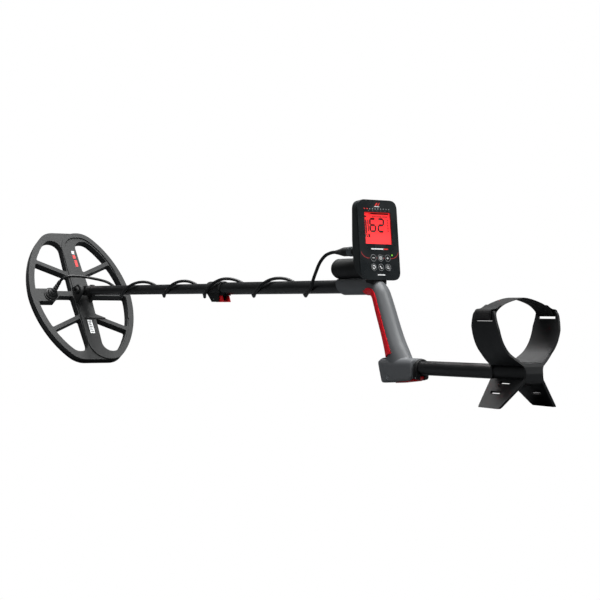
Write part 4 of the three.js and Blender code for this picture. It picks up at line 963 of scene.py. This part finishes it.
def make_handle():
    outside = remeshed(join(handle_loft(0), block()), 0.9, 4)
    seat = cut(grip_band(-1.9, 3, 2.5), plate(block_outline(), -30, 30, SIDE))
    cut(outside,
        bore(-963, -850),
        bore(-1090, -1008, REAR_HEIGHT),
        plate([(-850, 20), (-870.5, 20), (-893, -20), (-850, -20)], -20, 20, SIDE),
        lathed(rod(BATTERY_RADIUS + GAP, -970, -850), BATTERY_HEIGHT),
        seat)
    for name, y, z, side in SCREWS:
        cut(outside, turned(rod(SCREW_HEAD + GAP, *sorted((side * 14, side * 20))), ALONG_X, (0, y, z), 32))
    for name, span in (("left", (-60, -GAP / 2)), ("right", (GAP / 2, 60))):
        shell = common(linked(name, outside.data.copy()), box(span, (-1100, -850), (-170, 60)))
        piece(shell, f"handle_{name}", HANDLE_PLASTIC, f"handle_{name}_shell", angle=40)
    bpy.data.objects.remove(outside)

    pad = soften(cut(grip_band(-1.5, 0.8), *pad_ends()), 0.8, 3, 50)
    piece(pad, "grip_overmould", RED_RUBBER, "grip_pad")
    for name, y, z, side in SCREWS:
        hexagon = plate(circle(1.7, y, z, 6), *sorted((side * 15.4, side * 18)), SIDE)
        body = cut(turned(screw(side), ALONG_X, (0, y, z), 32), hexagon)
        piece(soften(body, 0.25, 2), name + "_head", STEEL, name)
    shaft = lathed(pipe(TUBE_OUTER, TUBE_INNER, -955, -500), soft=0.4)
    piece(shaft, "upper_tube", TUBE_COATING, "upper_shaft_tube")


def make_battery():
    radius, cap_y, back = BATTERY_RADIUS, -885, -960.9
    housing = [(0, back), (radius, back), (radius, cap_y - GAP), (radius - 1.9, cap_y - GAP),
               (radius - 1.9, back + 2), (0, back + 2)]
    piece(lathed(housing, BATTERY_HEIGHT, 0.4), "battery_tube", DARK_PLASTIC, "battery_housing")
    front = -865.6 - cap_y
    dome = [(0, front - 2.4), (radius - 3, front - 2.4), (radius - 3, -6), (radius - 2.3, -6),
            (radius - 2.3, 0), (radius, 0), (radius, front - 7), (radius - 2, front - 2.8),
            (radius - 6, front), (0, front)]
    cap = lathed(dome, BATTERY_HEIGHT, 2.2, cap_y)
    piece(cap, "battery_cap_dome", DARK_PLASTIC, "battery_cap", "battery_cap")
    dress_nodes(CELL_WRAP, "battery_cell")
    dress_nodes(STEEL, "battery_spring")


# ---- pod

POD_HALF, POD_LOW, POD_HIGH = 39.7, -58, 71
POD_BACK = [(-57.6, -2.9), (-54.5, -4.2), (-49.6, -6.6), (-40.7, -14.8), (-24.5, -18.8),
            (7.6, -18.8), (55.5, -14.8), (74, -13.3)]
BEZEL = 2.6
LCD_HALF, LCD_HEIGHT, LCD_TOP = 26.5, 51, -2.9
DIGIT_WIDTH, DIGIT_HEIGHT, DIGIT_HALF_BAR, DIGIT_GAP = 10.6, 20, 1.65, 0.25
KEY_RADIUS, KEY_TOP, RING_LEVEL, ICON_SCALE = 6, 0.86, 0.74, 1.3
KEYS = [(f"key_{row}_{column}", (c * 14.3) + 0.4, -22.6 - 15 * r)
        for r, row in enumerate(("upper", "lower"))
        for c, column in ((-1, "left"), (0, "middle"), (1, "right"))]
LED_AT = (24.8, -17.5, 0)
POD_SCREWS, POD_SCREW_Y = (("pod_screw_left", -30), ("pod_screw_right", 30)), 58
PLUG_X, PLUG_Z = -22, 55.8


def pod_outline(inset):
    return rectangle(inset - POD_HALF, POD_HALF - inset, POD_LOW + inset, POD_HIGH - inset, 15 - inset, 14)


def pod_form(inset, front):
    side = [(y, z + inset) for y, z in POD_BACK] + [(74, front)]
    return common(plate(pod_outline(inset), -30, front), plate(side, -60, 60, SIDE))


def segment_digit(x, y, lit):
    """Outlines of a seven-segment digit's lit bars, with (x, y) at its lower left."""
    width, half, gap, middle = DIGIT_WIDTH, DIGIT_HALF_BAR, DIGIT_GAP, DIGIT_HEIGHT / 2
    bars = {"a": (0, 2 * middle, 1), "g": (0, middle, 1), "d": (0, 0, 1), "f": (0, middle, 0),
            "b": (width, middle, 0), "e": (0, 0, 0), "c": (width, 0, 0)}
    outlines = []
    for left, low, flat in (bars[key] for key in lit):
        end = (width if flat else middle) - gap
        bar = [(gap, 0), (half + gap, half), (end - half, half), (end, 0), (end - half, -half),
               (half + gap, -half)]
        outlines.append([(x + left + (a if flat else b), y + low + (-b if flat else a)) for a, b in bar])
    return outlines


def arc_band(x, y, radius, width, start=0, end=360, steps=40):
    """A curved strip, as one outline."""
    angles = [radians(start + (end - start) * i / steps) for i in range(steps + 1)]
    return [(x + r * cos(a), y + r * sin(a)) for r, turn in ((radius + width / 2, angles),
                                                             (radius - width / 2, angles[::-1]))
            for a in turn]


def make_screen():
    piece(box((-LCD_HALF - 1, LCD_HALF + 1), (-1, LCD_HEIGHT + 1), (-5.6, LCD_TOP)), "lcd_panel",
          LCD_GLOW, "lcd_module", place=POD)
    ink = segment_digit(-14.2, 20.5, "afgedc") + segment_digit(2.4, 20.5, "abged")
    ink += [rectangle(-12.6, 23.5, 47.9, 50), rectangle(-23.8, -21.2, 17.4, 39),
            rectangle(-19.2, -17.4, 20, 39), rectangle(-24.5, -20.8, 42.8, 45.2, 0.5)]
    ink += [rectangle(-8.5 + 3.1 * i, -6.5 + 3.1 * i, 43.2, 45) for i in range(10)]
    ink += [rectangle(20.4, 23, 20.4 + 2.5 * i, 21.8 + 2.5 * i) for i in range(8)]
    ink += [rectangle(-25, -14.8, 15.1, 16.4), rectangle(-25, -22.9, 10.8, 14.8),
            rectangle(-21.6, -19.6, 10.8, 13.6), rectangle(-18.4, -14.8, 10.8, 14.8)]
    printed_marks("lcd_segments", ink, LCD_INK, level=LCD_TOP + 0.02, thickness=0.06)
    window = plate(rectangle(-LCD_HALF + GAP, LCD_HALF - GAP, GAP, LCD_HEIGHT - GAP, 1.3), -1.4, -0.5)
    piece(soften(window, 0.2, 2), "lcd_window", WINDOW, "display_window", place=POD)


def make_keys():
    minus = rectangle(-1.6, 1.6, -0.35, 0.35)
    icons = {
        "key_upper_left": [minus],
        "key_upper_right": [minus, rectangle(-0.35, 0.35, 0.36, 1.6), rectangle(-0.35, 0.35, -1.6, -0.36)],
        "key_upper_middle": [arc_band(0, 0, 1.9, 0.55), circle(0.7, count=24)],
        "key_lower_left": [arc_band(0, 0.3, 1.9, 0.9, 200, 520), rectangle(-0.5, 0.5, -2.7, -1.4)],
        "key_lower_middle": [rectangle(-2, -0.2, 0.2, 1.8, 0.3), rectangle(0.2, 1.6, -1.9, -0.1, 0.3)],
        "key_lower_right": [arc_band(-0.4, 0.4, 1.5, 0.55),
                            [(0.9, -0.5), (2.4, -1.9), (1.9, -2.4), (0.4, -1)]],
    }
    profile = [(0, -2.8), (KEY_RADIUS, -2.8), (KEY_RADIUS, 0.3), (KEY_RADIUS - 0.9, 0.75), (0, 0.85)]
    for name, x, y in KEYS:
        piece(turned(profile, ALONG_Z, (x, y, 0), soft=0.5), name + "_cap", KEY_RUBBER, name, name, POD)
        icon = [[(px * ICON_SCALE + x, py * ICON_SCALE + y) for px, py in outline]
                for outline in icons[name]]
        printed_marks(name + "_icon", icon, PRINT_WHITE, name, KEY_TOP, 0.06)
        ring = arc_band(x, y, KEY_RADIUS - 0.7, 0.45, 0, 359.9, 64)
        printed_marks(name + "_ring", [ring], PRINT_RING, name, RING_LEVEL, 0.12)


def make_face_marks():
    curve = [(37, -12.6), (35, -17), (31, -20.6), (26, -22.3), (21.4, -22.6)]
    sweep = [thickened(spline([(x * side, y) for x, y in curve], 8), 0.65 * side) for side in (-1, 1)]
    sweep += [rectangle(x - 1.05, x + 1.05, -22.93, -22.28) for x in (-6.75, 7.55)]
    badge = [[(-5, 61.4), (-1.6, 66), (1, 66), (-2.4, 61.4)],
             [(0.4, 61.4), (3.8, 66), (5.6, 66), (2.4, 61.4)]]
    ticks = [rectangle(-16 + i * 5.5, -14.6 + i * 5.5, 55.6, 57) for i in range(8)]
    ticks += [rectangle(-17.6 + i * 8.2, -17.1 + i * 8.2, 52.6, 53.6) for i in range(6)]
    for name, outlines, material in (
            ("face_sweep", sweep, PRINT_DEEP_RED),
            ("name_strip_white", [rectangle(-17, 7.5, -9.1, -7.1, 0.6)], PRINT_WHITE),
            ("name_strip_red", [rectangle(8.6, 17, -9.1, -7.1, 0.6)], PRINT_RED),
            ("badge_red", badge, PRINT_RED),
            ("badge_white", [rectangle(-5.6, 4.4, 59.6, 60.5)], PRINT_WHITE),
            ("scale_red", [rectangle(x, x + w, 55.4, 57) for x, w in ((-27, 2.4), (-21.5, 2.3))], PRINT_RED),
            ("scale_grey", ticks, PRINT_GREY),
            ("foot_strip", [rectangle(-6.5, 8.5, -50.4, -48.7, 0.4)], PRINT_WHITE)):
        printed_marks(name, outlines, material)


def make_pod():
    case = cut(pod_form(0, -BEZEL - GAP), pod_form(2.2, 0))
    socket = turned(rod(7.7, -975, -935), place=(PLUG_X, 0, PLUG_Z))
    socket.data.transform((SHAFT.inverted() @ POD).inverted())
    cut(case, socket, *[turned(rod(2.1, -16, -10), ALONG_Z, (x, POD_SCREW_Y, 0), 32) for _, x in POD_SCREWS])
    piece(soften(case, 1.6, 4, 35), "pod_case", POD_PLASTIC, "pod_rear_case", place=POD)

    face = cut(plate(pod_outline(0), -BEZEL, 0),
               plate(rectangle(-LCD_HALF, LCD_HALF, 0, LCD_HEIGHT, 1.5), -4, 1),
               turned(rod(1.3, -4, 1), ALONG_Z, LED_AT, 32),
               group(*[turned(rod(KEY_RADIUS + GAP, -4, 1), ALONG_Z, (x, y, 0)) for _, x, y in KEYS]))
    piece(soften(face, 0.6, 3, 50), "pod_face", PANEL_FILM, "pod_bezel", place=POD)
    make_screen()
    make_keys()
    make_face_marks()
    led = turned([(0, -4), (1.1, -4), (1.1, -0.3), (0.8, 0.1), (0, 0.2)], ALONG_Z, LED_AT, 32)
    piece(led, "led_lens", LED_GREEN, "status_led", place=POD)
    dress_nodes(KEY_RUBBER, "key_mat")
    dress_nodes(BOARD, "circuit_board")
    dress_nodes(DARK_PLASTIC, "speaker")
    for name, x in POD_SCREWS:
        body = turned([(0, -16.2), (2.6, -16.2), (3, -15.2), (1.8, -15.2), (1.8, -11), (0, -11)], ALONG_Z,
                      (x, POD_SCREW_Y, 0), 32)
        cross = join(*[box((x - a, x + a), (POD_SCREW_Y - b, POD_SCREW_Y + b), (-17, -15.6))
                       for a, b in ((1.7, 0.35), (0.35, 1.7))])
        piece(cut(body, cross), name + "_head", STEEL, name, place=POD)

    foot = box((-13, 13), (-981, -961.2), (3, 38))
    back = [(y, z - GAP) for y, z in POD_BACK] + [(74, 4), (POD_LOW, 4)]
    pod = common(plate(pod_outline(-GAP), -30, 4), plate(back, -60, 60, SIDE))
    pod.data.transform(SHAFT.inverted() @ POD)
    cut(foot, handle_loft(GAP), pod)
    piece(soften(foot, 0.3, 2), "pod_wedge", DARK_PLASTIC, "pod_foot")


def make_plug():
    tip, body, ring, socket = -893, -915, -927.5, -942
    place = (PLUG_X, 0, PLUG_Z)
    nut = [(0, -967), (7, -967), (7, -959.2), (8.6, -959.2), (8.6, socket - 2.6), (6.6, socket - 2.6),
           (6.6, -950), (0, -950)]
    shell = [(0, -949), (5.9, -949), (5.9, ring - 1), (7.4, ring - 1), (7.4, body - GAP), (0, body - GAP)]
    boot = [(0, body), (7.2, body)]
    for rib in (1, 2, 3):
        y = body + rib * 5
        boot += [(7.4 - rib, y), (6.6 - rib, y + 0.6), (6.6 - rib, y + 1.6), (7 - rib, y + 2.2)]
    boot += [(3.5, tip - GAP), (0, tip - GAP)]
    piece(turned(nut, place=place, soft=0.4), "socket_nut", DARK_PLASTIC, "coil_socket")
    piece(turned(shell, place=place, soft=0.5), "plug_shell", DARK_PLASTIC, "plug_body")
    piece(turned(boot, place=place, soft=0.3), "plug_strain_relief", BOOT_RUBBER, "plug_boot")
    grip = pipe(7.7, 6.3, 0, ring - socket - 1.6)
    knurl = lathed(grip, PLUG_Z, 0.4, socket, PLUG_X)
    ridges = [turned(rod(0.45, 1.2, 11.4), place=(x, socket, z), sides=8)
              for x, z in circle(7.6, PLUG_X, PLUG_Z, 24)]
    piece(group(knurl, *ridges), "plug_lock_ring", DARK_METAL, "plug_ring", "plug_ring")


# ---- rear shaft and arm cuff

CUFF_THICKNESS, CUFF_FRONT, CUFF_BACK, FOOT_Z = 3.6, -1262, -1338, -176.6
CUFF_MIDDLE = (CUFF_FRONT + CUFF_BACK) / 2
WING = [(62, -38), (62.8, -46), (61.9, -58), (58.6, -73), (52.6, -87), (43.5, -98.8), (31, -109),
        (19, -117.2)]
WAIST = [(19, -117.2), (17, -121.5), (16.2, -127), (16.6, -132), (18.3, -137.3)]
LEG_HALF, LEG_TOP, LEG_FOOT, LEG_THICKNESS = 18.3, -137.3, 56.3, 4
LEG_RUN = (LEG_FOOT - LEG_HALF) / (LEG_TOP - FOOT_Z)
SADDLE_RADIUS, FRONT_WALL, REAR_WALL = 15.2, 4, 4.4
STRAP_SLOTS = [(1, -49.4, -43.1, -44.5), (-1, -53.1, -50.5, -50.9)]
STRAP_FRONT, STRAP_BACK = -1282, -1316
STRAP_WIDTH, STRAP_THICKNESS, STRAP_COLUMNS = 34, 1.7, 18


def ground_cut():
    """A block below the ground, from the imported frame's own level."""
    level, other = (SHAFT.inverted() @ Vector((0, y, 0)) for y in (0, 1))
    slope = (other.z - level.z) / (other.y - level.y)
    ends = (CUFF_BACK - 60, CUFF_FRONT + 60)
    outline = [(y, level.z + slope * (y - level.y)) for y in ends] + [(y, -240) for y in ends[::-1]]
    return plate(outline, -90, 90, SIDE)


def leg(side):
    bottom = FOOT_Z - 8
    line = [(11.5, -134.8), (16.5, -136), (LEG_HALF, LEG_TOP),
            (LEG_HALF + LEG_RUN * (LEG_TOP - bottom), bottom)]
    outline = thickened(line, -LEG_THICKNESS)
    return plate([(x * side, z) for x, z in outline], CUFF_BACK, CUFF_FRONT, CROSS)


def leg_slots():
    """Two slots square through each leg; one leg's are the other's, turned half a turn."""
    down = Vector((LEG_RUN, -1)).normalized() * 2.3
    through = Vector((1, LEG_RUN)).normalized() * 6
    tools = []
    for side in (-1, 1):
        for z, shift in ((-141.2, 0.5), (-155, 6)):
            centre = Vector((LEG_HALF + LEG_RUN * (LEG_TOP - z), z))
            corners = [centre + a * down + b * through for a, b in ((-1, -1), (1, -1), (1, 1), (-1, 1))]
            y = CUFF_MIDDLE - side * shift
            tools.append(plate([(v.x * side, v.y) for v in corners], y - 10.5, y + 10.5, CROSS))
    return tools


def waist_walls():
    line = spline(WAIST, 4)
    outline = line + [(14, -141.6), (-14, -141.6)] + mirrored(line)
    return [plate(outline, *span, CROSS) for span in ((CUFF_FRONT - FRONT_WALL, CUFF_FRONT),
                                                      (CUFF_BACK, CUFF_BACK + REAR_WALL))]


def armrest():
    wing = spline(WING, 5)[::-1]
    outside = mirrored(wing) + wing
    band = thickened(outside, CUFF_THICKNESS)
    hollow = band[len(outside):] + [(-50, 0), (50, 0)]
    front, back = CUFF_FRONT, CUFF_BACK
    saddle = lathed(rod(SADDLE_RADIUS, back, front), REAR_HEIGHT)
    body = join(plate(band, back, front, CROSS), saddle, *waist_walls(), leg(-1), leg(1))
    side = rounded([(front - 15, -38.5), (front - 9, -60), (front - 8.5, -100), (front - 2, -118),
                    (front, -128), (front - 2, -138), (front - 16.2, FOOT_Z + 3.2),
                    (front - 19.5, FOOT_Z - 1.5), (back + 16.5, FOOT_Z - 1.5), (back + 14, FOOT_Z + 2),
                    (back + 1, -138), (back, -128), (back + 2, -118), (back + 10, -100),
                    (back + 11, -66), (back + 18, -38.5)], 8, 8, least=4)
    screw_hole = [(0, -150), (4.9, -150), (4.9, -139.2), (2.3, -139.2), (2.3, -120), (0, -120)]
    strap_slots = [box(sorted((side_x * 40, side_x * 80)), (STRAP_BACK - 1, STRAP_FRONT + 1), (low, high))
                   for side_x, low, high, _ in STRAP_SLOTS]
    cut(body, plate(hollow, back - 1, front + 1, CROSS),
        bore(back + REAR_WALL, -1200, REAR_HEIGHT),
        turned(screw_hole, ALONG_Z, (0, CUFF_MIDDLE, 0), 32),
        ground_cut(), *strap_slots, *leg_slots())
    return soften(common(body, plate(side, -90, 90, SIDE)), 0.7, 3, 35)


def strap_half(side, level):
    """From the middle of the fold outside the cuff, in through the slot and up to the top."""
    line = [(44.5, -31.1), (49.5, -34.2), (54, -36.2), (58.5, -37.2), (62.2, -37.7), (63.9, -40.4),
            (64.2, level + 1.9), (63.6, level + 0.2), (61, level), (56.8, level + 0.2),
            (55.6, level + 2.6), (54.9, -41.2), (52.3, -37.6), (46.8, -33), (38.5, -28.3), (28, -24.6),
            (18, -21.9), (9, -20.1)]
    return [(x * side, z) for x, z in line]


def make_strap():
    """Webbing of one width along the strap's line, with rounded selvedges and UVs in mm."""
    right, left = [strap_half(side, level) for side, _, _, level in STRAP_SLOTS]
    fine = spline(right + [(0, -19.2)] + left[::-1], 5)
    middle = [Vector(p) for p in thickened(fine, 0.9)[len(fine):][::-1]]
    bm = bmesh.new()
    uv = bm.loops.layers.uv.new("UVMap")
    rows, run = [], 0.0
    for i, p in enumerate(middle):
        before, after = middle[max(i - 1, 0)], middle[min(i + 1, len(middle) - 1)]
        tangent = (after - before).normalized()
        normal = Vector((-tangent.y, tangent.x))
        run += (p - middle[i - 1]).length if i else 0
        ring = []
        for face in (1, -1):
            for c in range(STRAP_COLUMNS + 1):
                u = -1 + 2 * c / STRAP_COLUMNS
                edge = min(1.0, (1 - abs(u)) * 9 + 0.35)
                offset = normal * (face * STRAP_THICKNESS / 2 * edge)
                y = CUFF_MIDDLE + 1 + u * STRAP_WIDTH / 2 * face
                ring.append(bm.verts.new((p.x + offset.x, y, p.y + offset.y)))
        rows.append((ring, run))
    count = len(ring)
    for (low, low_run), (high, high_run) in zip(rows, rows[1:]):
        for k in range(count):
            m = (k + 1) % count
            face = bm.faces.new((low[k], low[m], high[m], high[k]))
            for loop, along in zip(face.loops, (low_run, low_run, high_run, high_run)):
                loop[uv].uv = (along, loop.vert.co.y)
    for ring, _ in (rows[0], rows[-1]):
        bm.faces.new(ring)
    strap = piece(to_object(bm), "arm_webbing", STRAP_WEB, "arm_strap", "rear_shaft", angle=60)


def make_rear():
    shaft = lathed(pipe(TUBE_OUTER, TUBE_INNER, -1330, -1010), REAR_HEIGHT, 0.4)
    piece(shaft, "rear_tube", TUBE_COATING, "rear_shaft_tube", "rear_shaft")
    plug = turned([(0, -1333), (10.1, -1333), (11.1, -1332), (11.1, -1330.3), (9.5, -1330.3),
                   (9.5, -1316), (0, -1316)], place=(0, 0, REAR_HEIGHT), soft=0.4)
    piece(plug, "tube_end_plug", DARK_PLASTIC, "rear_tube_plug", "rear_shaft")
    piece(armrest(), "cuff_body", CUFF_PLASTIC, "armrest", "rear_shaft", angle=40)
    dress_nodes(STEEL, "armrest_screw")
    make_strap()


# ---- stage

WHITE = (1, 1, 1, 1)


def area_light(name, place, size, power, aim=(0, 0, 0.15)):
    light = linked(name, bpy.data.lights.new(name, "AREA"))
    light.data.shape = "RECTANGLE"
    light.data.size, light.data.size_y = size
    light.data.energy = power
    light.location = place
    light.rotation_euler = (Vector(aim) - Vector(place)).to_track_quat("-Z", "Y").to_euler()


def seen_mix(tree, other, seen, surface):
    """Links one shader to a surface for camera rays and another for all other rays."""
    path = add_node(tree, "ShaderNodeLightPath")
    mix = add_node(tree, "ShaderNodeMixShader")
    tree.links.new(path.outputs["Is Camera Ray"], mix.inputs["Fac"])
    tree.links.new(other, mix.inputs[1])
    tree.links.new(seen, mix.inputs[2])
    tree.links.new(mix.outputs["Shader"], surface)


def make_stage():
    """A floor and a world that the camera sees as even white, and that throw less light back."""
    floor = plate(circle(40, count=96), -0.02, -0.0006)
    floor.name = "floor"
    paint = Finish("floor_paint", "4c4e50", 0.9, specular=0.0)
    paint.tint(paint.noise(0.5, 2), 0.004)
    glow = paint.add("ShaderNodeEmission", Color=WHITE, Strength=1.0)
    seen_mix(paint.tree, paint.shader.outputs["BSDF"], glow.outputs["Emission"],
             paint.tree.nodes["Material Output"].inputs["Surface"])
    dress(floor, paint.material)

    world = bpy.context.scene.world or bpy.data.worlds.new("world")
    bpy.context.scene.world = world
    world.use_nodes = True
    tree = world.node_tree
    tree.nodes.clear()
    fill = add_node(tree, "ShaderNodeBackground", Color=(0.93, 0.96, 1, 1), Strength=0.08)
    seen = add_node(tree, "ShaderNodeBackground", Color=WHITE, Strength=1.0)
    output = add_node(tree, "ShaderNodeOutputWorld")
    seen_mix(tree, fill.outputs["Background"], seen.outputs["Background"], output.inputs["Surface"])
    bpy.context.scene.view_settings.view_transform = "Standard"

    area_light("key_light", (0.9, -2.6, 2.2), (1.4, 1.4), 60)
    area_light("top_light", (0, 0, 2.8), (1.2, 3.0), 230)
    area_light("side_light", (-2.6, -1.0, 1.4), (0.8, 1.4), 13, aim=(0, -0.2, 0.15))


make_camera()
make_cable()
make_coil()
make_lower_shaft()
make_clamps()
make_handle()
make_battery()
make_pod()
make_plug()
make_rear()
make_stage()
